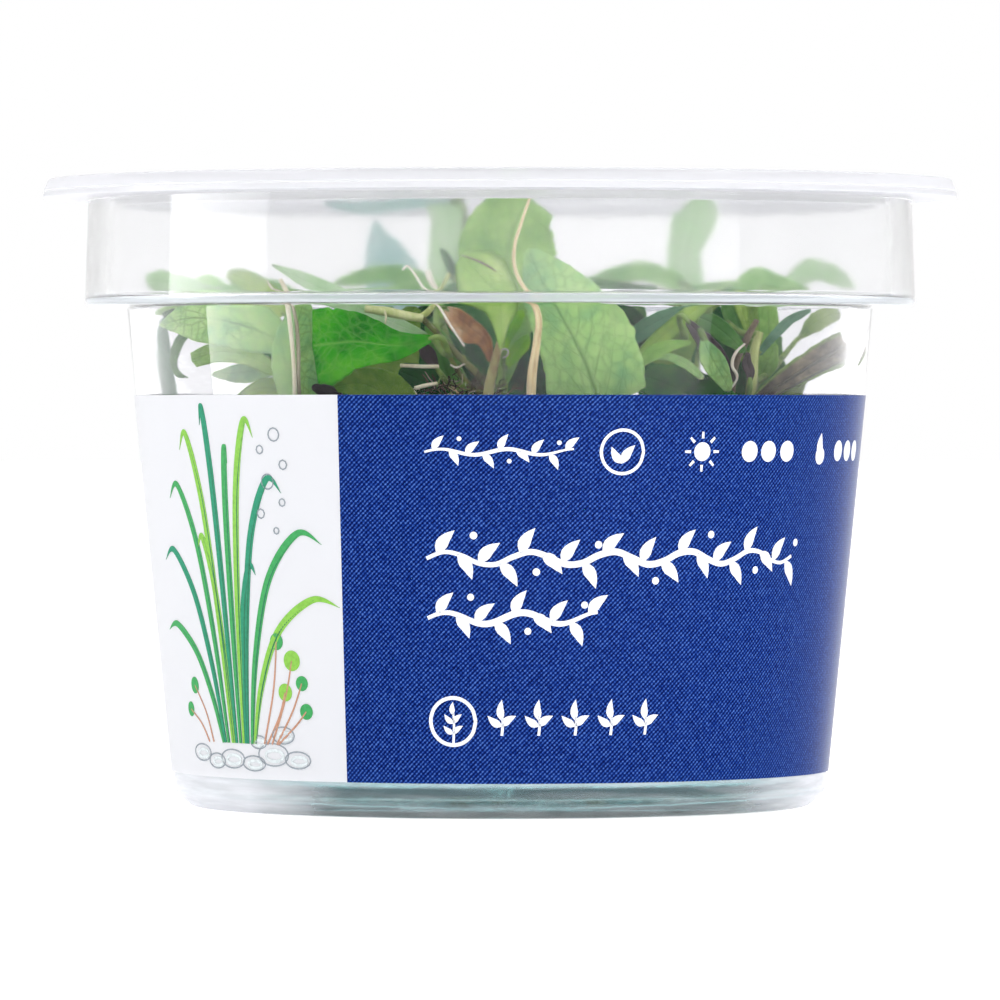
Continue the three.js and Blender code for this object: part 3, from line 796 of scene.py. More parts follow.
def printWhitePanel():
    baseS, baseZ, line = panelArt["baseS"], panelArt["baseZ"], panelArt["outline"]
    broad = panelArt["ribbonWidth"]
    for start, lean, height, ink in panelArt["ribbons"]:
        foot = Vector((baseS + start, baseZ))
        path = [foot, foot + Vector((lean * 0.18, height * 0.4)), foot + Vector((lean * 0.5, height * 0.78)),
                foot + Vector((lean, height)), foot + Vector((lean * 1.35, height * 0.95))]
        inkStroke(ink, path, (broad * 0.5, broad * 0.9, broad, broad * 0.8, 0.0))
        shade = [point + Vector((broad * 0.45, 0)) for point in path[:-1]]
        inkStroke("shade", shade, (0.05, broad * 0.22, broad * 0.16, 0.0))
    for s, z, radius in panelArt["roundStems"]:
        foot = Vector((s + (baseS - s) * 0.4, baseZ))
        bend = (foot + Vector((s, z))) / 2 + Vector((0.5, 0.2))
        inkStroke("stalkRed", [foot, bend, (s, z)], (0.12, 0.08))
        inkDot("lime" if radius > 0.9 else "leafGreen", s, z, radius)
    for s, z, across, tall in panelArt["pebbles"]:
        inkRing("pencil", s, z, across, tall, line)
        inkRing("wash", s + 0.2, z - 0.1, across * 0.6, tall * 0.5, 0.18)
    for s, z, radius in panelArt["bubbles"]:
        inkRing("pencil", s, z, radius, radius, line)


def finishInks():
    for ink, pieces in inkPieces.items():
        obj = joinPieces(pieces)
        applyModifier(obj, "SOLIDIFY", thickness=prints["thick"] * mm, offset=-1, use_rim=True)
        seat(obj, "print_" + ink, inkMaterials[ink], [])


printTopRow()
inkVine(prints["vineEnd"], prints["vineZ"], 0.7, 20, 3.1)
inkVine(prints["lowerVineEnd"], prints["lowerVineZ"], 0.6, 9, 2.9)
printFootRow()
printWhitePanel()
finishInks()
print("label printed")


# Leaves: their surfaces, their shape, and where each one grows

veins = {
    "sweep": 0.34, "curl": 0.16,      # how far the side veins run forward on their way to the margin
    "sideLine": 0.08, "sideShow": 0.9, "ribLine": 0.07,
    "sideRidge": 0.09, "sideRise": 0.6, "ribRidge": 0.09,
    "netScale": 760.0, "netLine": 0.12, "netShow": 0.5,      # cells about 1.3 mm across
    "marginFrom": 0.7, "marginOver": 0.25,
    "patchScale": 230.0, "patchStops": (0.37, 0.52, 0.66),
}


def makeLeafSurface(name, leaf):
    # living leaf: waxy satin cuticle, light comes through, a net of veins shows
    material, tree, shader = newMaterial(name, {
        "Roughness": leaf.get("rough", 0.42), "IOR": 1.42, "Specular IOR Level": 0.15,
    })
    coords = addNode(tree, "TexCoord")
    split = addNode(tree, "SeparateXYZ", {"Vector": coords.outputs["UV"]})
    across = addNode(tree, "Math", [split.outputs["Y"], 2.0], operation="MULTIPLY")
    across = addNode(tree, "Math", [across, 1.0], operation="SUBTRACT")
    aside = addNode(tree, "Math", [across], operation="ABSOLUTE")
    squared = addNode(tree, "Math", [aside, aside], operation="MULTIPLY")
    # the side veins leave the midrib at even steps and bend towards the tip
    sweep = addNode(tree, "Math", [aside, veins["sweep"]], operation="MULTIPLY")
    curl = addNode(tree, "Math", [squared, veins["curl"]], operation="MULTIPLY")
    bent = addNode(tree, "Math", [split.outputs["X"], sweep], operation="SUBTRACT")
    bent = addNode(tree, "Math", [bent, curl], operation="SUBTRACT")
    phase = addNode(tree, "Math", [bent, leaf["veins"]], operation="MULTIPLY")
    near = addNode(tree, "Math", [phase, 0.5], operation="PINGPONG")
    near = addNode(tree, "Math", [near, veins["sideLine"]], operation="DIVIDE")
    side = addNode(tree, "Math", [1.0, near], operation="SUBTRACT", use_clamp=True)
    fade = addNode(tree, "Math", [1.0, squared], operation="SUBTRACT", use_clamp=True)
    side = addNode(tree, "Math", [side, fade], operation="MULTIPLY")
    side = addNode(tree, "Math", [side, veins["sideShow"]], operation="MULTIPLY")
    rib = addNode(tree, "Math", [aside, veins["ribLine"]], operation="DIVIDE")
    rib = addNode(tree, "Math", [1.0, rib], operation="SUBTRACT", use_clamp=True)
    # the fine net between them
    net = addNode(tree, "TexVoronoi", {"Vector": coords.outputs["Object"], "Scale": veins["netScale"]},
                  feature="DISTANCE_TO_EDGE")
    net = addNode(tree, "Math", [net.outputs["Distance"], veins["netLine"]], operation="DIVIDE")
    net = addNode(tree, "Math", [1.0, net], operation="SUBTRACT", use_clamp=True)
    net = addNode(tree, "Math", [net, veins["netShow"]], operation="MULTIPLY")
    lines = addNode(tree, "Math", [rib, side], operation="MAXIMUM")
    lines = addNode(tree, "Math", [lines, net], operation="MAXIMUM")
    patches = addNode(tree, "TexNoise", {"Vector": coords.outputs["Object"], "Scale": veins["patchScale"],
                                         "Detail": 6.0, "Roughness": 0.68})
    tones = [hexColour(leaf[tone]) for tone in ("deep", "body", "light")]
    stops = list(zip(veins["patchStops"], tones))
    blade = addNode(tree, "ValToRGB", {"Fac": patches.outputs["Fac"]}, stops).outputs["Color"]
    if "margin" in leaf:
        edge = addNode(tree, "Math", [aside, veins["marginFrom"]], operation="SUBTRACT")
        edge = addNode(tree, "Math", [edge, veins["marginOver"]], operation="DIVIDE", use_clamp=True)
        edged = addNode(tree, "Mix", {0: edge, 6: blade, 7: hexColour(leaf["margin"])}, data_type="RGBA")
        blade = edged.outputs[2]
    share = addNode(tree, "Math", [lines, leaf["veinMix"]], operation="MULTIPLY")
    colour = addNode(tree, "Mix", {0: share, 6: blade, 7: hexColour(leaf["vein"])}, data_type="RGBA")
    bump = addNode(tree, "Bump", {"Height": lines, "Strength": 0.35, "Distance": 0.08 * mm}, invert=True)
    feed(shader, {"Base Color": colour.outputs[2], "Normal": bump})
    through = addNode(tree, "BsdfTranslucent", {"Color": colour.outputs[2], "Normal": bump})
    mix = addNode(tree, "MixShader", [leaf.get("through", 0.4), shader, through])
    feed(tree.nodes["Material Output"], {"Surface": mix})
    return material


leafLooks = {
    "pale": {"body": "#c4ee98", "deep": "#9cd690", "light": "#dcfaae", "vein": "#4f8c40", "veins": 8,
             "veinMix": 0.6, "slot": "leaf_light"},
    "lit": {"body": "#b4e276", "deep": "#94d062", "light": "#d2f494", "vein": "#5f9c44", "veins": 7,
            "veinMix": 0.5, "slot": "leaf_light"},
    "sunlit": {"body": "#d2f088", "deep": "#b2de6c", "light": "#ecfcb2", "vein": "#82b04c", "veins": 7,
               "veinMix": 0.5, "margin": "#8cba4e", "through": 0.5, "slot": "leaf_light"},
    "yellowish": {"body": "#c2e26e", "deep": "#9ccc58", "light": "#dcf28e", "vein": "#74a440", "veins": 8,
                  "veinMix": 0.6, "margin": "#8cba4c", "slot": "leaf_light"},
    "bright": {"body": "#a8e430", "deep": "#7cca26", "light": "#c8f456", "vein": "#8ccc40", "veins": 7,
               "veinMix": 0.4, "slot": "leaf_light"},
    "fresh": {"body": "#38ba12", "deep": "#148e10", "light": "#68d42a", "vein": "#9cdc6c", "veins": 7,
              "veinMix": 0.5, "slot": "leaf_mid"},
    "mid": {"body": "#72b658", "deep": "#4e9846", "light": "#96ce74", "vein": "#3f7e38", "veins": 8,
            "veinMix": 0.6, "slot": "leaf_mid"},
    "teal": {"body": "#7ab48e", "deep": "#549870", "light": "#9accaa", "vein": "#5f9a7a", "veins": 8,
             "veinMix": 0.4, "slot": "leaf_mid"},
    "olive": {"body": "#98be54", "deep": "#74a242", "light": "#b6d274", "vein": "#7aa24c", "veins": 8,
              "veinMix": 0.5, "slot": "leaf_mid"},
    "dark": {"body": "#368c38", "deep": "#1c6c2a", "light": "#58a84a", "vein": "#206028", "veins": 8,
             "veinMix": 0.4, "slot": "leaf_dark"},
    "deep": {"body": "#1b6430", "deep": "#083f1e", "light": "#32803a", "vein": "#286c38", "veins": 8,
             "veinMix": 0.4, "slot": "leaf_dark"},
    # painted haze and light: these three looks are leaf greens whitened for the veil of the hazy collar
    # plastic and the light from behind
    "paintedHazeGreen": {"body": "#bcea98", "deep": "#96d47c", "light": "#d8f8b8", "vein": "#7cb86a", "veins": 8,
             "veinMix": 0.4, "through": 0.56, "slot": "leaf_light"},
    "paintedHazeWhite": {"body": "#e6fadb", "deep": "#d4f2c6", "light": "#f2feea", "vein": "#c6eabc", "veins": 8,
              "veinMix": 0.4, "through": 0.6, "slot": "leaf_light"},
    "paintedHazeBlue": {"body": "#e2f6f3", "deep": "#d0ecea", "light": "#f0fbfa", "vein": "#c0e2de", "veins": 8,
                  "veinMix": 0.4, "through": 0.6, "slot": "leaf_light"},
    "brown": {"body": "#d0945c", "deep": "#744026", "light": "#f2cca2", "vein": "#5f4433", "veins": 6,
              "veinMix": 0.7, "through": 0.25, "rough": 0.6, "slot": "leaf_dead"},
    "purple": {"body": "#5a4e50", "deep": "#3a3437", "light": "#7e6c6e", "vein": "#3a3032", "veins": 7,
               "veinMix": 0.5, "through": 0.2, "rough": 0.5, "slot": "leaf_dead"},
    "decay": {"body": "#87795f", "deep": "#463a32", "light": "#bcb08a", "vein": "#382e28", "veins": 5,
              "veinMix": 0.8, "through": 0.25, "rough": 0.55, "margin": "#80a848", "slot": "leaf_dead"},
}
leafMaterials = {look: makeLeafSurface(f"leaf blade, {look}", spec) for look, spec in leafLooks.items()}


def veinDepth(u, aside, look):
    # the midrib and the curved side veins, 1 on a vein and 0 between
    rib = max(0.0, 1 - aside / veins["ribRidge"])
    phase = (u - veins["sweep"] * aside - veins["curl"] * aside * aside) * look["veins"]
    side = max(0.0, 1 - abs(phase - round(phase)) / veins["sideRidge"]) * (1 - aside ** 3)
    return max(rib, side * veins["sideRise"])


leafShape = {
    "rowStep": 0.33, "fewestRows": 14, "mostRows": 72, "columns": 22,      # mm between rows
    "thick": 0.24, "relief": 0.05, "tipRound": 0.035, "leastHalf": 0.06,
    "face": (0.0, -1.0, 0.0),      # the way a blade looks, unless it says otherwise
    "fold": 6,                     # degrees that each half is folded towards the face
    "ripple": 0.06, "rippleAlong": 0.2, "rippleAcross": 1.1,
    "tooth": 0.07, "toothAlong": 1.3,
}


def growLeaf(name, leaf):
    # leaf["spine"] runs from base to tip, "right" and "left" are half widths along it, all in mm
    look = leafLooks[leaf["look"]]
    spine = [Vector(point) for point in leaf["spine"]]
    right = leaf["right"]
    left = leaf.get("left", right)
    length = sum((b - a).length for a, b in zip(spine, spine[1:]))
    rows = min(leafShape["mostRows"], max(leafShape["fewestRows"], int(length / leafShape["rowStep"])))
    dropSelection()
    columns = leaf.get("columns", leafShape["columns"])
    bpy.ops.mesh.primitive_grid_add(x_subdivisions=rows, y_subdivisions=columns, size=1)
    obj = bpy.context.object
    fold = math.tan(math.radians(leaf.get("fold", leafShape["fold"])))
    wave = leaf.get("wave", leafShape["ripple"])
    seedAt = spine[0] * 0.37
    # one frame for each row, carried along the spine so that the blade can bend back
    frames = []
    across = None
    for row in range(rows + 1):
        share = row / rows
        here = alongPath(spine, share)
        ahead, behind = alongPath(spine, min(share + 0.01, 1)), alongPath(spine, max(share - 0.01, 0))
        tangent = (ahead - behind).normalized()
        if across is None:
            across = tangent.cross(Vector(leaf.get("face", leafShape["face"])))
        across = (across - tangent * across.dot(tangent)).normalized()
        frames.append((here, across.copy(), across.cross(tangent)))
    for vert in obj.data.vertices:
        u, v = vert.co.x + 0.5, vert.co.y * 2
        here, across, facing = frames[round(u * rows)]
        half = alongPath(right if v > 0 else left, u)
        end = min(u, 1 - u)
        if end < leafShape["tipRound"]:
            half *= math.sqrt(max(1 - (1 - end / leafShape["tipRound"]) ** 2, 0.0))
        tooth = noise.noise(Vector((u * length * leafShape["toothAlong"], v > 0, 0)) + seedAt)
        half = max(half * (1 + leafShape["tooth"] * tooth), leafShape["leastHalf"])
        bumpy = Vector((u * length * leafShape["rippleAlong"], v * leafShape["rippleAcross"], 0.0))
        ripple = noise.noise(bumpy + seedAt)
        point = here + across * v * half + facing * fold * abs(v) * half
        point += facing * ripple * wave * half * 2 * (0.3 + abs(v))
        point -= facing * leafShape["relief"] * veinDepth(u, abs(v), look)
        vert.co = point * mm
    applyModifier(obj, "SOLIDIFY", thickness=leafShape["thick"] * mm, offset=0, use_rim=True)
    pick(obj)
    bpy.ops.object.shade_smooth()
    nodes = [leaf["node"]] if "node" in leaf else []
    seat(obj, "blade_" + name, leafMaterials[leaf["look"]], nodes)


leaves = {
    # in front, against or near the wall
    "front_broad": {
        "look": "pale", "node": "leaf_front_broad", "fold": -8, "wave": 0.03, "face": (-0.1, -1, 0.05),
        "right": (4.8, 5.9, 5.7, 4.7, 3.2, 0.7), "left": (5.3, 4.5, 3.9, 3.3, 2.2, 0.5),
        "spine": ((10.4, -31.2, 43.6), (9, -32.2, 47.9), (7.5, -32.9, 51), (5.9, -33.4, 54),
                  (4.3, -33.6, 57), (2.9, -33.2, 60.1)),
    },
    "wall_green": {
        "look": "fresh", "node": "leaf_wall_green", "fold": -4, "wave": 0.03,
        "right": (0.3, 1.6, 3.1, 3.8, 3.9), "left": (0.3, 1.5, 2.9, 4.1, 4.1),
        "spine": ((-7, -31.6, 50.9), (-10.6, -32.2, 50.1), (-14.8, -32.4, 50.5), (-17.4, -31.8, 50.3),
                  (-19.4, -30.8, 50.1)),
    },
    "folded": {
        "look": "sunlit", "node": "leaf_folded", "fold": 14, "wave": 0.03,
        "right": (0.2, 0.9, 2.2, 3.1, 0.8), "left": (0.2, 0.9, 2.2, 3, 0.9),
        "spine": ((0.1, -31.9, 49.7), (0.1, -32.6, 52.2), (-0.1, -33.2, 54.8), (-2, -33.4, 57.4),
                  (-4, -33, 59.5)),
    },
    "behind_root": {
        "look": "pale", "node": "leaf_behind_root", "right": (1.9, 2.1, 2.5, 1.9, 0.5),
        "left": (1.9, 2.3, 2.3, 1.5, 0.4),
        "spine": ((-20, -26.4, 43), (-21.1, -27, 46.4), (-21.4, -27.6, 49.6), (-21, -28, 52.8),
                  (-20.3, -28, 55.3)),
    },
    "pointed": {
        "look": "paintedHazeWhite", "node": "leaf_pointed", "fold": 10, "right": (0.4, 0.8, 1.1, 0.8, 0.1),
        "spine": ((-7.7, -24.2, 51.1), (-11.9, -25, 52.9), (-16.3, -25.6, 54.8), (-20.1, -26.2, 56.8),
                  (-23.9, -26.6, 58.6)),
    },
    "under_green": {
        "look": "olive", "right": (2.8, 2.6, 1.7, 0.5),
        "spine": ((-9.8, -28, 41.7), (-11.9, -28.6, 44.7), (-14.5, -29, 46.1), (-17.2, -28.6, 45.7)),
    },
    # on the left
    "left_broad": {
        "look": "pale", "node": "leaf_left_broad", "fold": 8, "right": (0.4, 2.6, 2.9, 2.4, 0.2),
        "left": (0.4, 2.4, 2.7, 2.3, 0.2),
        "spine": ((-21.5, -19, 49.6), (-25.3, -19, 51.7), (-28.8, -18.4, 52.8), (-32.3, -16, 53.2),
                  (-35.5, -13.4, 52.5)),
    },
    "left_dark": {
        "look": "dark", "node": "leaf_left_dark", "right": (0.4, 1.1, 1.3, 1.3, 0.3),
        "spine": ((-22.5, -14, 49.5), (-26.1, -13.6, 50.3), (-29.6, -13, 51.5), (-32.9, -12.4, 53.1),
                  (-35.6, -11.8, 53.7)),
    },
    "hook": {
        "look": "mid", "node": "leaf_hook", "right": (0.4, 0.5, 0.5, 0.4, 0.3, 0),
        "spine": ((-33.2, -9.4, 52.2), (-34.3, -9, 50.8), (-34.9, -8.6, 49.2), (-34.9, -8.4, 48),
                  (-34.4, -8.4, 47.1), (-33.5, -8.6, 46.8)),
    },
    "left_wall": {
        "look": "teal", "node": "leaf_left_wall", "fold": -12, "right": (0.9, 0.9, 0.9, 0.7, 0.2),
        "spine": ((-36.2, -1, 43.9), (-36.8, -1.4, 46.9), (-37.1, -1.8, 49.5), (-37.1, -2.2, 51.7),
                  (-36.6, -2.6, 53.5)),
    },
    "left_wall_behind": {
        "look": "pale", "fold": 8, "right": (0.5, 0.6, 0.5, 0.2),
        "spine": ((-36.8, 0.6, 43.9), (-37.1, 0.4, 46.7), (-37.3, 0.2, 49.6), (-37.2, 0, 52)),
    },
    "left_small": {
        "look": "pale", "fold": 0, "right": (0.7, 0.7, 0.1),
        "spine": ((-34.3, -8, 55.2), (-35.6, -8.4, 54.3), (-36.8, -8.6, 53.7)),
    },
    "narrow_1": {
        "look": "lit", "node": "leaf_narrow_1", "fold": 10, "right": (0.3, 0.8, 1, 1.1, 0.8),
        "spine": ((-22.5, -15.2, 46.4), (-24.9, -14.8, 48.1), (-27.3, -14.4, 49.2), (-30, -14, 49.5),
                  (-32.6, -13.8, 48.6)),
    },
    "narrow_2": {
        "look": "pale", "node": "leaf_narrow_2", "fold": 8, "right": (0.7, 1.1, 1, 0.2),
        "spine": ((-23.5, -12, 48.2), (-25.8, -11.8, 47.6), (-28.2, -11.6, 47.2), (-30.8, -11.4, 47.1)),
    },
    "narrow_3": {
        "look": "yellowish", "node": "leaf_narrow_3", "fold": 8, "right": (1.2, 1.5, 1.1, 0.2),
        "spine": ((-19.1, -18, 43), (-22.1, -19, 44.9), (-25, -20.2, 45.6), (-27.5, -21.2, 44.7)),
    },
    "collar_left_1": {
        "look": "paintedHazeWhite", "node": "leaf_collar_left_1", "right": (0.6, 0.8, 1.2, 1.2, 0.6),
        "spine": ((-27.3, -2.4, 55.6), (-32.2, -2.2, 56.2), (-35.5, -1.8, 57), (-37.8, -1.6, 57.2),
                  (-38.6, -1.6, 57)),
    },
    "collar_left_2": {
        "look": "paintedHazeGreen", "node": "leaf_collar_left_2", "right": (0.9, 1.3, 1.1, 0.4),
        "spine": ((-29.1, 6.4, 55), (-31.4, 7, 56.3), (-32.9, 7.6, 57.1), (-34.5, 8, 56.8)),
    },
    "collar_left_3": {
        "look": "yellowish", "node": "leaf_collar_left_3", "fold": 8, "right": (0.9, 1.3, 1.2, 0.5),
        "spine": ((-23.2, -9, 53.6), (-25.4, -8, 55.8), (-27.5, -7.2, 57.2), (-29.5, -6.8, 58)),
    },
    "collar_left_4": {
        "look": "paintedHazeGreen", "right": (0.7, 1, 0.9, 0.3),
        "spine": ((-21.8, -4, 55.2), (-24.5, -3.4, 56.3), (-27.1, -2.8, 56.6), (-30.4, -2.4, 56.4)),
    },
    # in the middle and at the back
    "tall": {
        "look": "lit", "node": "leaf_tall", "fold": 5, "right": (0.3, 2.6, 4.5, 5.2, 4, 2.8, 0.9),
        "left": (0.3, 2.6, 4.5, 5.2, 3.9, 2.8, 0.9),
        "spine": ((0.6, -15.6, 46), (0.9, -16.6, 52.3), (1.1, -17.4, 56.8), (0.9, -17.8, 60.8),
                  (2, -17.6, 64.1), (3.2, -16.8, 65.5), (3.5, -12, 65.8)),
    },
    "dead": {
        "look": "brown", "node": "leaf_dead", "fold": 24, "wave": 0.3, "right": (0.4, 1.3, 1.6, 0.8, 0.2),
        "left": (0.3, 0.8, 0.9, 0.7, 0.3),
        "spine": ((-5.7, -23.4, 54.1), (-4.5, -23.8, 53.2), (-3, -23.6, 52), (-1.7, -23, 50.7),
                  (-1.1, -22.4, 48.5)),
    },
    "back_left": {
        "look": "paintedHazeWhite", "node": "leaf_back_left", "fold": 4, "right": (1.1, 1.6, 2, 1.8, 2.2),
        "left": (1.1, 1.7, 2, 1.9, 2.2),
        "spine": ((-6.7, 20, 51.7), (-6.5, 21, 56.7), (-6.1, 22.4, 61.2), (-6, 23.4, 64.3),
                  (-6.2, 24, 66.5)),
    },
    "back_left_bent": {
        "look": "paintedHazeBlue", "fold": 4, "right": (0.3, 0.6, 0.7, 0.2),
        "spine": ((-5.1, 24, 66.5), (-10.1, 24, 66.3), (-14.6, 23.6, 65.9), (-20, 23, 66.4)),
    },
    "back_right": {
        "look": "paintedHazeWhite", "node": "leaf_back_right", "fold": 4, "right": (0.9, 1.9, 1.9, 2.2, 2.6, 1.7),
        "spine": ((21.3, 18.4, 51.7), (21.1, 19.4, 56.9), (20.8, 20.4, 60.5), (21.4, 21.2, 62.9),
                  (22.1, 22, 65.1), (21.3, 22.2, 66.4)),
    },
    "back_wide": {
        "look": "paintedHazeBlue", "node": "leaf_back_wide", "fold": 4, "right": (0.9, 3, 2.6, 1.2, 0.2),
        "spine": ((-9.9, 19.6, 50.5), (-11.7, 21.6, 56.7), (-12.9, 24, 60.1), (-13.9, 26.4, 62.6),
                  (-14.2, 28.2, 64.6)),
    },
    "back_low": {
        "look": "paintedHazeGreen", "node": "leaf_back_low", "right": (1, 1.2, 1, 0.8, 0.2),
        "spine": ((-5, 17, 54.8), (-9.1, 15, 57.4), (-12.7, 13, 58.3), (-16.4, 11, 57.7),
                  (-18.5, 9.8, 57.1)),
    },
    "back_low_2": {
        "look": "paintedHazeGreen", "right": (1.1, 1.1, 0.6, 0.3),
        "spine": ((-4.2, 10, 52.1), (-8, 9, 56), (-11.9, 8, 56.3), (-17.7, 7, 56)),
    },
    "back_cross": {
        "look": "paintedHazeGreen", "node": "leaf_back_cross", "right": (0.9, 1.1, 1, 0.7, 0.2),
        "spine": ((20.5, 15.4, 57.2), (16.2, 14.8, 58.6), (12.9, 13.8, 58.1), (10, 13, 57.3),
                  (7.1, 12.4, 57.4)),
    },
    "cross_shade": {
        "look": "dark", "fold": 4, "right": (0.6, 0.7, 0.7, 0.2),
        "spine": ((17.6, 4, 56.2), (13.2, 5, 56.6), (10.6, 5.4, 56.9), (8.4, 5.6, 56.7)),
    },
    "thin_tip": {
        "look": "dark", "fold": 10, "right": (0.5, 0.5, 0.4, 0.1),
        "spine": ((-4.9, -14, 57.2), (-5.3, -13.8, 58.7), (-5.8, -13.6, 59.8), (-6.4, -13.6, 60.6)),
    },
    # the dark crown behind the front leaves
    "shade_1": {
        "look": "dark", "right": (1.5, 1.9, 1.8, 0.8),
        "spine": ((-1.1, -18, 49.4), (-2.8, -18.4, 52.2), (-4.3, -18.6, 54.7), (-5.2, -18.6, 56.7)),
    },
    "shade_2": {
        "look": "deep", "fold": 8, "right": (1.1, 1.4, 0.6),
        "spine": ((-0.6, -20.4, 48.3), (-2.1, -21, 49.5), (-3.7, -21.2, 49.9)),
    },
    "shade_3": {
        "look": "deep", "right": (1.7, 1.6, 1.4, 0.9),
        "spine": ((1.7, -13, 43.2), (1.5, -14, 47.9), (1.8, -14.6, 51.8), (2.5, -15, 55.1)),
    },
    "shade_4": {
        "look": "deep", "right": (1.9, 1.8, 1),
        "spine": ((-5.8, -23.4, 44.3), (-8.1, -24.4, 46.3), (-10.6, -25, 47.4)),
    },
    "shade_5": {
        "look": "mid", "right": (1.8, 1.8, 1.4, 0.5),
        "spine": ((-4.3, -21, 43.2), (-5.6, -22, 47.1), (-6.4, -22.6, 50), (-7.5, -22.8, 52.6)),
    },
    "shade_6": {
        "look": "deep", "right": (1.7, 1.8, 1.4, 0.5),
        "spine": ((-2.4, -19, 43), (-4.1, -20, 45.9), (-5.1, -20.4, 48.6), (-5.1, -20.6, 50.9)),
    },
    "glow_1": {
        "look": "bright", "fold": 10, "right": (0.2, 0.7, 0.8, 0.2),
        "spine": ((0.6, -17, 47.7), (1.5, -17.6, 49.2), (2.4, -18, 50.4), (3, -18.2, 51.4)),
    },
    "glow_2": {
        "look": "bright", "fold": 10, "right": (0.2, 0.5, 0.8, 0.3),
        "spine": ((0.5, -18, 49.4), (0.9, -18.6, 51.1), (1.5, -19, 52.6), (2.5, -19, 53.9)),
    },
    "glow_3": {
        "look": "yellowish", "fold": 8, "right": (0.4, 0.6, 0.4),
        "spine": ((-6, -21, 52.6), (-6.3, -21, 53.9), (-6.9, -21, 55)),
    },
    "crown_brown": {
        "look": "purple", "fold": 14, "right": (0.3, 0.8, 0.2),
        "spine": ((-6.6, -26, 47.7), (-7.6, -26.4, 49.3), (-8.5, -26.6, 50.5)),
    },
    "crown_left": {
        "look": "purple", "fold": 8, "right": (0.7, 0.8, 0.3),
        "spine": ((-16.6, -27.4, 44.1), (-17.9, -27.6, 45.1), (-19.6, -27.6, 45.8)),
    },
    # on the right
    "right_arch": {
        "look": "yellowish", "node": "leaf_right_arch", "fold": 8, "right": (0.4, 0.9, 0.9, 0.8, 0.2),
        "spine": ((22.9, -14, 55.3), (20.3, -14.8, 53.6), (17.7, -15.8, 51.5), (15.7, -16.8, 49.7),
                  (14.3, -17.4, 47.9)),
    },
    "right_dark": {
        "look": "deep", "node": "leaf_right_dark", "right": (1.3, 2.2, 1.6, 0.5),
        "spine": ((18.3, -8, 44.9), (16.5, -8.4, 49.1), (14.5, -9, 52.3), (12.6, -9.6, 55.2)),
    },
    "right_stripe": {
        "look": "teal", "right": (0.5, 1, 0.8, 0.4),
        "spine": ((12.8, -11, 50.1), (15.3, -11.4, 51.9), (18.1, -11.8, 53.5), (21, -12, 54.7)),
    },
    "right_mid": {
        "look": "mid", "node": "leaf_right_mid", "right": (0.8, 1, 1, 0.3),
        "spine": ((20.3, -12.4, 53.6), (22.4, -13, 52.8), (24.2, -13.6, 51.4), (26.1, -14, 49.5)),
    },
    "right_down": {
        "look": "olive", "right": (0.3, 1.5, 2, 1.2),
        "spine": ((20.7, -13.4, 52.9), (19.8, -14, 51.2), (18.4, -14.8, 49.5), (17, -15.4, 47.7)),
    },
    "right_purple": {
        "look": "purple", "node": "leaf_right_purple", "fold": 16, "right": (0.3, 0.8, 0.9, 0.3),
        "spine": ((19.8, -18.8, 52.9), (21.4, -19, 51), (23, -19.4, 49), (24.7, -19.8, 46.4)),
    },
    "right_blade": {
        "look": "pale", "node": "leaf_right_blade", "right": (0.1, 1, 1.2, 0.4),
        "spine": ((21.3, -22, 51.1), (21.9, -22.2, 49.5), (22.8, -22.4, 47.8), (24.1, -22.6, 45.3)),
    },
    "right_low": {
        "look": "dark", "node": "leaf_right_low", "right": (2.2, 2.7, 2.6, 1.3),
        "spine": ((26.1, -14, 41), (22.2, -17.4, 43.8), (18.4, -21, 45.7), (15, -23.6, 47)),
    },
    "right_rim": {
        "look": "lit", "right": (0.3, 0.8, 0.6, 0.2),
        "spine": ((14.5, -25, 47.9), (16, -25.2, 49.3), (17.8, -25.2, 50.1), (20, -25, 50.5)),
    },
    "right_rim_2": {
        "look": "pale", "right": (0.2, 0.4, 0.5, 0.3),
        "spine": ((16.2, -24.6, 49), (17.9, -24.6, 48.9), (19.6, -24.6, 48.1), (21.3, -24.4, 46.6)),
    },
    "right_shade": {
        "look": "deep", "right": (1.5, 1.9, 1.6, 1),
        "spine": ((25.8, -10, 43.9), (24, -11, 48.4), (22.9, -11.6, 51.6), (22.3, -12, 55.3)),
    },
    "right_back_1": {
        "look": "mid", "right": (0.7, 1.2, 1.2, 0.5),
        "spine": ((26.6, -6, 49.5), (25.9, -6.4, 52.3), (25.1, -6.6, 54.7), (24.7, -6.6, 56.5)),
    },
    "right_yellow": {
        "look": "yellowish", "right": (0.2, 0.5, 0.7, 0.4),
        "spine": ((27, -8, 51), (26.4, -8.4, 53), (26, -8.4, 54.5), (25.7, -8.4, 55.6)),
    },
    "right_back_2": {
        "look": "lit", "right": (0.6, 1.1, 1),
        "spine": ((28.8, -4, 49.3), (29.2, -4.4, 52.1), (29, -4.6, 55.2)),
    },
    "right_light": {
        "look": "lit", "fold": 4, "right": (0.3, 1.2, 0.3),
        "spine": ((27.7, -7.4, 46.2), (28.7, -8, 48.3), (29.7, -8.2, 50.6)),
    },
    "right_band": {
        "look": "teal", "node": "leaf_right_band", "fold": 8, "right": (0.3, 0.5, 0.5, 0.2),
        "spine": ((27.8, -9, 49.3), (29.5, -9.6, 51.4), (31.2, -10.2, 53.1), (33.2, -10.8, 54.1)),
    },
    "right_olive": {
        "look": "olive", "node": "leaf_right_olive", "right": (0.2, 0.9, 1, 0.6),
        "spine": ((32.7, -1.6, 51.1), (34.1, -1, 52.4), (35.8, -0.2, 53.4), (37.6, 0.6, 53.8)),
    },
    "decaying": {
        "look": "decay", "node": "leaf_decaying", "fold": 16, "wave": 0.16,
        "right": (0.4, 1.2, 1.5, 1.9, 1.4), "left": (0.4, 1.1, 1.4, 1.6, 1.2),
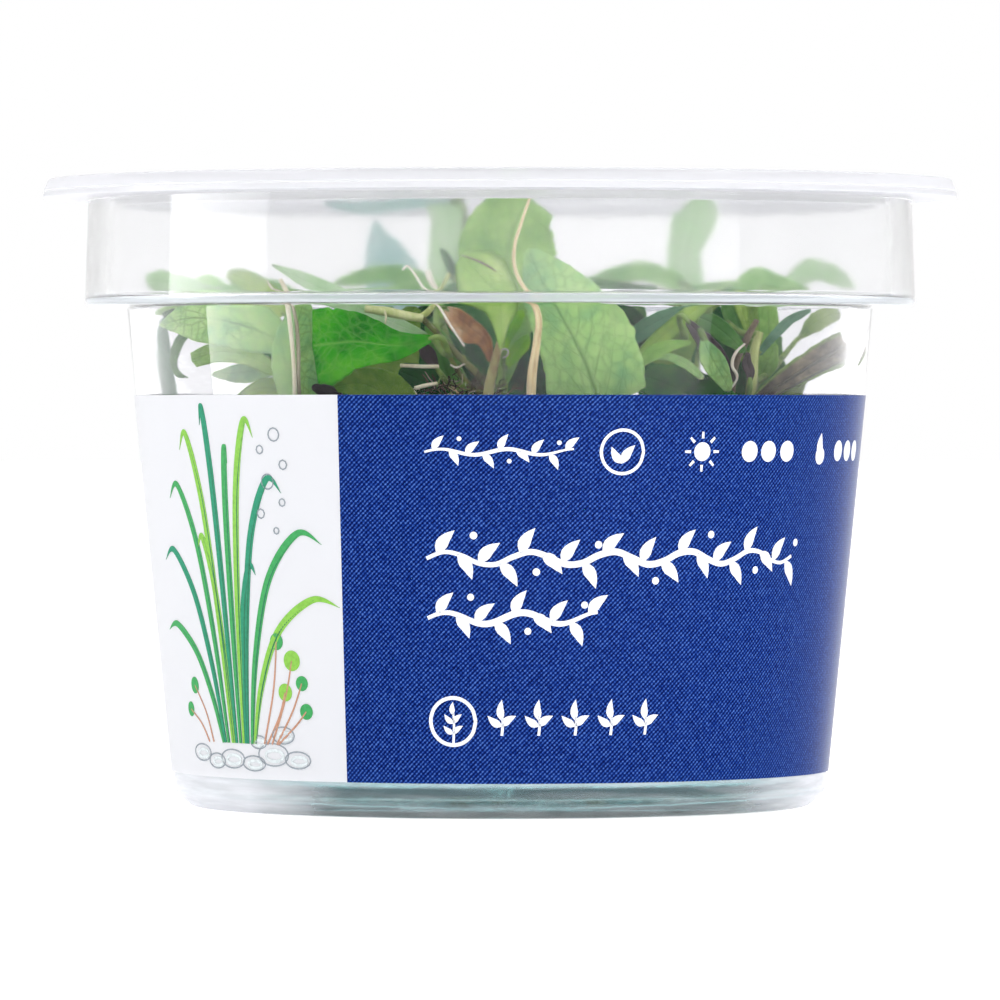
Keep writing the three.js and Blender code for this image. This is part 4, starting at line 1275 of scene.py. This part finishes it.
        "spine": ((26.4, -13, 43.8), (30.1, -11.4, 46.3), (33.4, -9.4, 48.4), (36, -7, 49.7),
                  (37.5, -4.6, 50.6)),
    },
    "decay_low": {
        "look": "olive", "right": (0.9, 1, 0.7, 0.1),
        "spine": ((32.5, -10, 42.1), (31.5, -9.6, 44.5), (32.1, -9, 46), (33.2, -8.4, 46.8)),
    },
    "collar_right_1": {
        "look": "paintedHazeWhite", "node": "leaf_collar_right_1", "fold": 4, "right": (0.6, 1.1, 1.3, 1, 0.3),
        "spine": ((29.8, 6, 55), (32.6, 7, 57.3), (34.8, 8, 58.7), (37.7, 9.2, 58), (39.9, 10, 56.7)),
    },
    "collar_right_2": {
        "look": "paintedHazeGreen", "node": "leaf_collar_right_2", "fold": 4, "right": (0.5, 1.1, 1.1, 0.9, 0.2),
        "spine": ((24.8, -5.4, 54.5), (26.6, -4.4, 56.7), (28.2, -3.2, 57.7), (30.2, -1.8, 57.3),
                  (33.5, -0.6, 56.5)),
    },
    "collar_band": {
        "look": "pale", "fold": 4, "right": (0.6, 0.8, 0.7, 0.3),
        "spine": ((20.9, 2, 56.2), (25.3, 3, 56.6), (29.7, 4, 56.6), (34.2, 5, 56.5)),
    },
    # the mass of foliage behind
    "mass_1": {
        "look": "mid", "right": (1.5, 2.6, 2.4, 0.6),
        "spine": ((-21.9, 0, 43), (-19.1, 2, 47.4), (-16.5, 4, 51.3), (-14.1, 6, 55.1)),
    },
    "mass_2": {
        "look": "olive", "right": (1.7, 2.8, 2.6, 0.7),
        "spine": ((-10, -6, 42.8), (-11.8, -5, 46.7), (-11.1, -4, 50.6), (-9.2, -3, 54.6)),
    },
    "mass_3": {
        "look": "dark", "right": (1.7, 2.8, 2.6, 0.7),
        "spine": ((-2.8, -8, 43), (-4.1, -8, 47.3), (-5.7, -8, 51.2), (-4.8, -8, 55.4)),
    },
    "mass_4": {
        "look": "deep", "right": (1.7, 2.6, 2.2, 0.7),
        "spine": ((5.2, -6, 43), (4.1, -6, 47.3), (3.3, -6, 51.7), (3.9, -6, 55.8)),
    },
    "mass_5": {
        "look": "mid", "right": (1.8, 3.1, 2.9, 0.7),
        "spine": ((10.7, 0, 43), (12.1, 2, 47.4), (13.7, 4, 51.3), (15.5, 6, 54.9)),
    },
    "mass_6": {
        "look": "dark", "right": (2, 3.3, 3.1, 0.7),
        "spine": ((18.9, 2, 43), (17.8, 3, 47.4), (18.9, 4, 51.1), (21.2, 5, 55.1)),
    },
    "mass_7": {
        "look": "olive", "right": (1.8, 2.9, 2.6, 0.7),
        "spine": ((26.8, 0, 43), (25.9, 1, 47.4), (26.4, 2, 51.3), (27.9, 3, 55.3)),
    },
    "mass_8": {
        "look": "mid", "right": (1.1, 2, 1.5, 0.4),
        "spine": ((30.4, -3, 42.8), (29.7, -3, 46), (29.5, -3, 48.9), (30.4, -3, 51.5)),
    },
    "mass_9": {
        "look": "dark", "right": (1.8, 3.1, 2.9, 0.7),
        "spine": ((-15.5, 8, 42.8), (-16.4, 9, 46.7), (-14.9, 10, 51), (-12, 11, 54.7)),
    },
    "mass_10": {
        "look": "deep", "right": (1.8, 3.1, 2.9, 0.7),
        "spine": ((-7.7, 4, 42.8), (-8.4, 5, 46.9), (-8.8, 6, 51.1), (-7.7, 7, 54.9)),
    },
    "mass_11": {
        "look": "mid", "right": (1.8, 3.1, 2.9, 0.7),
        "spine": ((0, 4, 43), (0.2, 5, 47.4), (-0.4, 6, 51.6), (-1.1, 7, 55.4)),
    },
    "mass_12": {
        "look": "pale", "right": (0.9, 1.8, 1.8, 0.4),
        "spine": ((-26.2, 2, 43), (-24, 3, 45.2), (-21.4, 4, 47.4), (-18.7, 5, 49.6)),
    },
    # painted shade: a small dark purple blade stands for the dark inside of a torn hollow, beside the white
    # strand
    "torn_hollow": {
        "look": "purple", "right": (0.2, 0.5, 0.5, 0.2),
        "spine": ((26.1, -23.2, 46.3), (26.1, -23.4, 47.4), (25.8, -23.4, 48.4), (26, -23.2, 49.4)),
    },
    # lower down, between the stems
    "low_front": {
        "look": "mid", "node": "leaf_low_front", "fold": 0, "face": (-0.2, -0.6, 1),
        "right": (0.6, 2.8, 0.4), "spine": ((-2.2, -22.6, 27), (-8.6, -26.2, 32.4), (-14, -29, 36)),
    },
    "low_left": {
        "look": "mid", "node": "leaf_low_left", "fold": 0, "face": (0.6, -0.2, 1), "right": (0.6, 2.8, 0.4),
        "spine": ((-21.2, -11, 26), (-26.6, -6.6, 32), (-31, -2, 36)),
    },
    "low_back": {
        "look": "dark", "node": "leaf_low_back", "fold": 0, "face": (-0.2, -0.6, 1),
        "right": (0.6, 2.8, 0.4), "spine": ((-2.6, 14.4, 25), (1.6, 20.4, 31.8), (6, 26, 36)),
    },
    "low_right": {
        "look": "mid", "node": "leaf_low_right", "fold": 0, "face": (-0.6, -0.3, 1),
        "right": (0.6, 2.8, 0.4), "spine": ((24.8, -5.8, 25), (28.6, -1.4, 31), (32, 3, 35)),
    },
}


for name, leaf in leaves.items():
    growLeaf(name, leaf)
print(len(leaves), "leaves grown")


# Stems and roots, drawn along their paths

def makeStemSkin(name, body, dark, rough):
    # soft plant skin: satin, with long streaks and darker spots
    material, tree, shader = newMaterial(name, {"Roughness": rough, "Specular IOR Level": 0.3})
    coords = addNode(tree, "TexCoord")
    stretch = addNode(tree, "Mapping", {"Vector": coords.outputs["Object"], "Scale": (1.0, 1.0, 0.16)})
    streaks = addNode(tree, "TexNoise", {"Vector": stretch, "Scale": 1500.0, "Detail": 3.0})
    spots = addNode(tree, "TexNoise", {"Vector": coords.outputs["Object"], "Scale": 420.0, "Detail": 2.0})
    streak = addNode(tree, "Math", [streaks.outputs["Fac"], 0.6], operation="MULTIPLY")
    spot = addNode(tree, "Math", [spots.outputs["Fac"], 0.4], operation="MULTIPLY")
    blend = addNode(tree, "Math", [streak, spot], operation="ADD")
    stops = [(0.34, hexColour(dark)), (0.58, hexColour(body))]
    colour = addNode(tree, "ValToRGB", {"Fac": blend}, stops)
    bump = addNode(tree, "Bump", {"Height": streaks.outputs["Fac"], "Strength": 0.4, "Distance": 0.1 * mm})
    feed(shader, {"Base Color": colour, "Normal": bump})
    return material


strandSkins = {
    "green": makeStemSkin("stem skin, green", "#8fae58", "#4f7236", 0.45),
    "lightGreen": makeStemSkin("stem skin, yellow green", "#cdd68a", "#9aa85a", 0.45),
    "brown": makeStemSkin("stem skin, brown", "#86745c", "#40342c", 0.6),
    "olive": makeStemSkin("stem skin, olive", "#848c4c", "#424826", 0.5),
    "flushed": makeStemSkin("stem skin, flushed with red", "#c2bc7c", "#8c6448", 0.5),
    "crumb": makeStemSkin("old tissue, dark crumb", "#4e4c32", "#25261a", 0.8),
    "stub": makeStemSkin("cut stem, pale", "#dde0a6", "#b9c878", 0.5),
    "root": makeStemSkin("root, dry tan", "#f2e0ae", "#c4a878", 0.6),
    "rootPale": makeStemSkin("root, dry cream", "#efe8cc", "#c9bd98", 0.6),
    "rootGrey": makeStemSkin("root, dry grey", "#c8c2a8", "#948e74", 0.6),
    "whiteRoot": makeStemSkin("root, fresh white", "#f6f0e2", "#dccfb8", 0.5),
}

strands = {
    # stems, from their feet in the jelly
    "front": {
        "skin": "flushed", "slot": "stem", "node": "stem_front", "radii": (0.85, 0.8, 0.7, 0.55, 0.48, 0.4),
        "path": ((0, -20, 9), (0, -20, 15), (-1.2, -24, 32), (-1.2, -28.6, 45.1), (-0.7, -29.8, 47.7),
                 (0, -31, 50.4)),
    },
    "leaning": {
        "skin": "olive", "slot": "stem", "node": "stem_leaning", "radii": (0.85, 0.8, 0.6, 0.4, 0.34, 0.32),
        "path": ((-4, -13, 9), (-4, -13, 15), (-3, -20, 32), (-1.7, -24.6, 45.8), (-4.5, -26.4, 49.2),
                 (-8.2, -27.6, 53.1)),
    },
    "middle": {
        "skin": "olive", "slot": "stem", "node": "stem_middle", "radii": (0.8, 0.75, 0.6, 0.5),
        "path": ((5, -4, 9), (5, -4, 15), (4, -9, 30), (0.4, -15, 44.8)),
    },
    "broad": {
        "skin": "lightGreen", "slot": "stem", "node": "stem_broad", "radii": (0.9, 0.8, 0.7, 0.6),
        "path": ((10, -17, 9), (10, -17, 15), (11, -24, 25), (12, -29.8, 34), (10.6, -31.2, 43.2)),
    },
    "right": {
        "skin": "green", "slot": "stem", "node": "stem_right", "radii": (0.85, 0.75, 0.6, 0.5, 0.4),
        "path": ((16, -6, 9), (16, -6, 15), (18, -9, 32), (19.6, -11, 44), (20.6, -12, 53)),
    },
    "brown": {
        "skin": "brown", "slot": "stem_brown", "node": "stem_brown",
        "radii": (0.85, 0.8, 0.6, 0.42, 0.4, 0.4, 0.3),
        "path": ((23, -5, 9), (23, -5, 15), (24.4, -8.5, 32), (24.7, -12.6, 44.9), (25.2, -12.8, 48.2),
                 (26.3, -12.4, 50.8), (27.5, -11.8, 53)),
    },
    "left": {
        "skin": "green", "slot": "stem", "node": "stem_left", "radii": (0.9, 0.8, 0.6, 0.45, 0.4),
        "path": ((-18, -8, 9), (-18, -8, 15), (-20, -12, 32), (-19.6, -14.6, 43), (-19.8, -15, 49)),
    },
    "back": {
        "skin": "green", "slot": "stem", "node": "stem_back", "radii": (0.8, 0.7, 0.6, 0.5),
        "path": ((-3, 12, 9), (-3, 12, 15), (-4, 14, 32), (-6.2, 18, 46), (-6.6, 19.4, 50.8)),
    },
    "back_right": {
        "skin": "green", "slot": "stem", "node": "stem_back_right", "radii": (0.8, 0.7, 0.6, 0.5),
        "path": ((18, 11, 9), (18, 11, 15), (20, 14, 32), (21.8, 16.6, 45), (22.3, 17.6, 50)),
    },
    # cut stub, stalks and runners
    "stub": {
        "skin": "stub", "slot": "stem", "node": "stem_stub", "radii": (0.48, 0.52, 0.5, 0.45),
        "path": ((-14.1, -28.8, 54.1), (-12.2, -28.6, 53.8), (-10.4, -28.3, 53.4), (-8.1, -27.8, 53)),
    },
    "stalk_1": {
        "skin": "lightGreen", "slot": "stem", "radii": (0.4, 0.32, 0.28, 0.22),
        "path": ((-8.5, -27, 53), (-7.4, -27, 53.9), (-6.6, -26.8, 55.3), (-5.3, -26.6, 57.7)),
    },
    "stalk_2": {
        "skin": "olive", "slot": "stem", "radii": (0.3, 0.26, 0.2),
        "path": ((-2.1, -26, 45.1), (-3.8, -26.4, 46.6), (-5.5, -26.6, 49.4), (-6.8, -26.6, 52.1)),
    },
    "olive": {
        "skin": "lightGreen", "slot": "stem", "radii": (0.6, 0.6, 0.5, 0.4),
        "path": ((26.8, -10.6, 44.1), (27.1, -10.6, 47.1), (27.3, -10.4, 49.5), (27.9, -10, 51.7)),
    },
    # roots: front ones lie against the wall
    "tan_front": {
        "skin": "root", "slot": "root", "node": "root_tan_front",
        "radii": (0.15, 0.17, 0.19, 0.22, 0.25, 0.26, 0.27, 0.28),
        "path": ((3.1, -36.2, 65.5), (2.2, -36.3, 62.8), (1.5, -36.4, 60.3), (1.6, -36.4, 57.9),
                 (2.8, -36.5, 55.5), (3.8, -36.5, 53.3), (3.6, -36.1, 50.1), (3.1, -35.7, 47.2),
                 (3, -35.2, 44)),
    },
    "tan_front_2": {
        "skin": "root", "slot": "root", "radii": (0.1, 0.2, 0.25, 0.26, 0.26),
        "path": ((3.1, -36.2, 55.6), (4.1, -36.2, 53.3), (4, -35.9, 50.8), (3.6, -35.5, 47.6),
                 (3.4, -35, 44)),
    },
    "tan_left": {
        "skin": "rootPale", "slot": "root", "node": "root_tan_left", "radii": (0.2, 0.28, 0.22, 0.2, 0.2),
        "path": ((-22.9, -29.4, 57), (-22.3, -30, 55.7), (-21.9, -30.6, 53.6), (-21.5, -30.8, 50),
                 (-21.3, -30.4, 46.8), (-21.3, -30, 44)),
    },
    "tan_left_2": {
        "skin": "rootGrey", "slot": "root", "radii": (0.14, 0.2, 0.22, 0.22),
        "path": ((-22, -30.2, 55.5), (-21.3, -30.4, 53.6), (-20.9, -30.6, 50), (-20.9, -30.2, 46.8),
                 (-20.8, -29.8, 44)),
    },
    "tan_left_3": {
        "skin": "rootPale", "slot": "root", "radii": (0.08, 0.13, 0.14, 0.1),
        "path": ((-24.3, -29.2, 56.9), (-23.8, -29.4, 56.1), (-22.8, -29.8, 55.4), (-22.2, -30.2, 54.4)),
    },
    "white": {
        "skin": "whiteRoot", "slot": "root", "node": "root_white",
        "radii": (0.12, 0.12, 0.13, 0.14, 0.15, 0.14, 0.12),
        "path": ((-10.2, -30.6, 58), (-9.7, -31, 58.4), (-9.1, -31.4, 57.8), (-8, -32.2, 56.1),
                 (-6.7, -33, 54.7), (-5.3, -33.8, 52.5), (-3.7, -34.2, 50)),
    },
    "tip": {
        "skin": "whiteRoot", "slot": "root", "node": "root_tip", "radii": (0.34, 0.36, 0.25),
        "path": ((-7.6, -25, 58), (-7.4, -25.2, 57.2), (-6.6, -25.6, 55.8)),
    },
    "stick_1": {
        "skin": "rootPale", "slot": "root", "node": "root_stick_1", "radii": (0.18, 0.21, 0.19),
        "path": ((-10.4, -29.4, 48), (-8.5, -29, 47.9), (-6.4, -28.6, 47.9)),
    },
    "stick_2": {
        "skin": "rootPale", "slot": "root", "node": "root_stick_2", "radii": (0.2, 0.22, 0.18),
        "path": ((-8.9, -30.4, 45.6), (-7.7, -30, 45.9), (-6.6, -29.4, 46.1)),
    },
    "curl": {
        "skin": "whiteRoot", "slot": "root", "radii": (0.08, 0.08, 0.08, 0.08),
        "path": ((0, -30.6, 49.2), (0.3, -30.8, 49.7), (0.8, -31, 49.6), (0.8, -30.8, 49.1),
                 (0.3, -30.4, 48.8)),
    },
    "arc": {
        "skin": "whiteRoot", "slot": "root", "radii": (0.1, 0.12, 0.08),
        "path": ((-5.2, -27.4, 48.1), (-4.6, -27.6, 47.8), (-3.7, -27.4, 48.2)),
    },
    "hair_1": {
        "skin": "rootPale", "slot": "root", "radii": (0.1, 0.12, 0.08),
        "path": ((-12, -29, 53.8), (-11.9, -29.2, 53), (-12, -29.2, 52.4)),
    },
    "margin": {
        "skin": "brown", "slot": "stem", "radii": (0.05, 0.12, 0.13, 0.06),
        "path": ((-4, -33.9, 59.5), (-2.1, -34, 58.8), (0, -34, 57.6), (1.8, -33.9, 56.4)),
    },
    "glint": {
        "skin": "whiteRoot", "slot": "root", "radii": (0.1, 0.16, 0.16, 0.14, 0.08),
        "path": ((25.6, -23.8, 50.4), (24.6, -23.8, 49.3), (24.3, -23.8, 48), (24.8, -23.8, 46.9),
                 (24.3, -23.8, 45.7)),
    },
    "decay_rib": {
        "skin": "crumb", "slot": "stem_brown", "radii": (0.1, 0.16, 0.15, 0.11, 0.05),
        "path": ((26.6, -13.9, 43.9), (30.2, -12.4, 46.2), (33.4, -10.4, 48.2), (35.9, -8, 49.5),
                 (37.1, -5.6, 50.2)),
    },
    "decay_rib_2": {
        "skin": "crumb", "slot": "stem_brown", "radii": (0.06, 0.11, 0.11, 0.08, 0.04),
        "path": ((28.2, -13.5, 44), (30.9, -12.4, 45.7), (33.9, -10.5, 47.3), (36, -8.3, 48.4),
                 (37, -6.2, 48.9)),
    },
}


tube = {"sides": 10, "curveSteps": 10}


def drawStrand(name, strand, sides=tube["sides"]):
    # a curve through the path, thickened by its radii and closed at both ends
    path = [Vector(point) for point in strand["path"]]
    dropSelection()
    bpy.ops.curve.primitive_bezier_curve_add()
    obj = bpy.context.object
    spline = obj.data.splines[0]
    spline.bezier_points.add(len(path) - 2)
    for i, (knot, point) in enumerate(zip(spline.bezier_points, path)):
        knot.co = point * mm
        knot.handle_left_type = knot.handle_right_type = "AUTO"
        knot.radius = alongPath(strand["radii"], i / (len(path) - 1))
    obj.data.dimensions = "3D"
    obj.data.resolution_u = tube["curveSteps"]
    obj.data.bevel_depth = 1 * mm
    obj.data.bevel_resolution = sides // 4
    obj.data.use_fill_caps = True
    pick(obj)
    bpy.ops.object.convert(target="MESH")
    obj = bpy.context.object
    bpy.ops.object.mode_set(mode="EDIT")
    weldMesh()
    bpy.ops.object.shade_smooth()
    nodes = [strand["node"]] if "node" in strand else []
    return seat(obj, "strand_" + name, strandSkins[strand["skin"]], nodes)


for name, strand in strands.items():
    drawStrand(name, strand)
print(len(strands), "stems and roots drawn")


petiole = {
    "radii": (0.42, 0.34, 0.3, 0.24), "sides": 8,
    "near": 1.2,              # a blade that starts this close to a stem needs no stalk
    "drop": 5.0, "lowest": 16, "under": 1.5,      # where on the stem a stalk starts, below its blade
    "sag": 1.2, "dip": 1.0, "ease": 0.4,
    "notFrom": ("margin", "stub", "decay"),
}


def drawPetioles():
    # every blade hangs on a stalk that leaves the nearest stem below it
    knots = []
    for name, strand in strands.items():
        if strand["slot"] != "root" and not name.startswith(petiole["notFrom"]):
            path = [Vector(point) for point in strand["path"]]
            knots += [alongPath(path, k / 30) for k in range(31)]
    stalks = []
    for name, leaf in leaves.items():
        base = Vector(leaf["spine"][0])
        toward = (Vector(leaf["spine"][1]) - base).normalized()
        if min((knot - base).length for knot in knots) < petiole["near"]:
            continue
        below = [knot for knot in knots if petiole["lowest"] < knot.z < base.z - petiole["under"]]
        foot = min(below, key=lambda knot: (knot - base).length
                   + abs(base.z - knot.z - petiole["drop"]) * 0.5)
        half = (foot + base) / 2
        bend = half - toward * petiole["sag"] - Vector((0, 0, petiole["dip"]))
        path = [foot, bend.lerp(half, petiole["ease"]), base - toward * 0.6, base + toward * 0.5]
        stalk = {"skin": "green", "slot": "stem", "path": path, "radii": petiole["radii"]}
        stalks.append(drawStrand("stalk_" + name, stalk, petiole["sides"]))
    seat(joinPieces(stalks), "stem_petioles", strandSkins["green"], [])


lowFoliage = {
    # pairs of leaves up each stem, behind the label; they show from above and behind
    "stems": ("front", "leaning", "middle", "broad", "right", "brown", "left", "back", "back_right"),
    "heights": (19.5, 25.0, 30.5, 35.5, 40.0),
    "length": (8.0, 13.5), "shortest": 4, "breadth": 0.2, "lift": (18, 48),
    "clear": 1.0, "top": 44.0,      # room kept to the wall, and the height that they stay under
    "course": ((0.03, 0.0), (0.35, 0.42), (0.7, 0.72), (1.0, 0.78)),      # shares of reach and of rise
    "looks": ("mid", "dark", "olive", "pale", "mid", "fresh"),
}


def insideWall(point):
    return math.hypot(point.x, point.y) < bodyR(point.z) - cup["wall"] - lowFoliage["clear"]


def growLowLeaves():
    for stem in lowFoliage["stems"]:
        path = [Vector(p) for p in strands[stem]["path"]]
        turn = random.uniform(0, 180)
        for height in lowFoliage["heights"]:
            turn += 90 + random.uniform(-15, 15)
            foot = min((alongPath(path, k / 60) for k in range(61)), key=lambda p: abs(p.z - height))
            for side in (0, 180):
                angle = math.radians(turn + side + random.uniform(-12, 12))
                lift = math.radians(random.uniform(*lowFoliage["lift"]))
                out = Vector((math.cos(angle), math.sin(angle), 0))
                length = random.uniform(*lowFoliage["length"])
                spine = []
                # a leaf that would reach the wall is drawn shorter
                while not spine and length > lowFoliage["shortest"]:
                    rise = length * math.sin(lift)
                    reach = length * math.cos(lift)
                    spine = [foot + out * reach * along + Vector((0, 0, rise * up))
                             for along, up in lowFoliage["course"]]
                    if not all(insideWall(p) and p.z < lowFoliage["top"] for p in spine):
                        spine, length = [], length * 0.85
                if not spine:
                    continue
                broad = length * lowFoliage["breadth"] * random.uniform(0.85, 1.15)
                leaf = {"look": random.choice(lowFoliage["looks"]), "fold": 8, "wave": 0.08, "columns": 12,
                        "face": (0, 0, 1), "spine": spine, "right": (0.25, broad, broad * 0.9, 0.1)}
                growLeaf(f"low_{stem}_{height:.0f}_{side}", leaf)


drawPetioles()
growLowLeaves()
print("stalks and low leaves grown")


clump = {
    # the crumb of old fibres among the stem feet, just above the label's edge
    "centre": (-3.2, -26.8, 45.3), "spread": (5.0, 1.3, 1.3), "crowding": 0.5,
    "counts": {"crumb": 46, "brown": 26, "green": 12, "rootGrey": 8, "root": 6, "rootPale": 6},
    "links": 3, "linkLength": (0.3, 0.7), "crook": 0.5, "thick": (0.05, 0.12), "sides": 4,
}


def scatterFibres():
    # short crooked fibres, each its own length and colour
    centre, spread = Vector(clump["centre"]), clump["spread"]
    crook = clump["crook"]
    for skin, count in clump["counts"].items():
        bundle = []
        for k in range(count):
            here = centre + Vector([random.gauss(0, clump["crowding"]) * s for s in spread])
            way = Vector((random.uniform(-1, 1), random.uniform(-0.5, 0.5), random.uniform(-0.5, 0.8)))
            way.normalize()
            path = [here]
            for step in range(clump["links"]):
                bend = Vector([random.uniform(-crook, crook) for axis in range(3)])
                path.append(path[-1] + (way + bend) * random.uniform(*clump["linkLength"]))
            thick = random.uniform(*clump["thick"])
            fibre = {"skin": skin, "slot": "root", "path": path, "radii": (thick, thick, thick * 0.6)}
            bundle.append(drawStrand(f"fibre_{skin}_{k}", fibre, clump["sides"]))
        obj = joinPieces(bundle)
        seat(obj, "fibres_" + skin, strandSkins[skin], [])


scatterFibres()
print("fibres scattered")
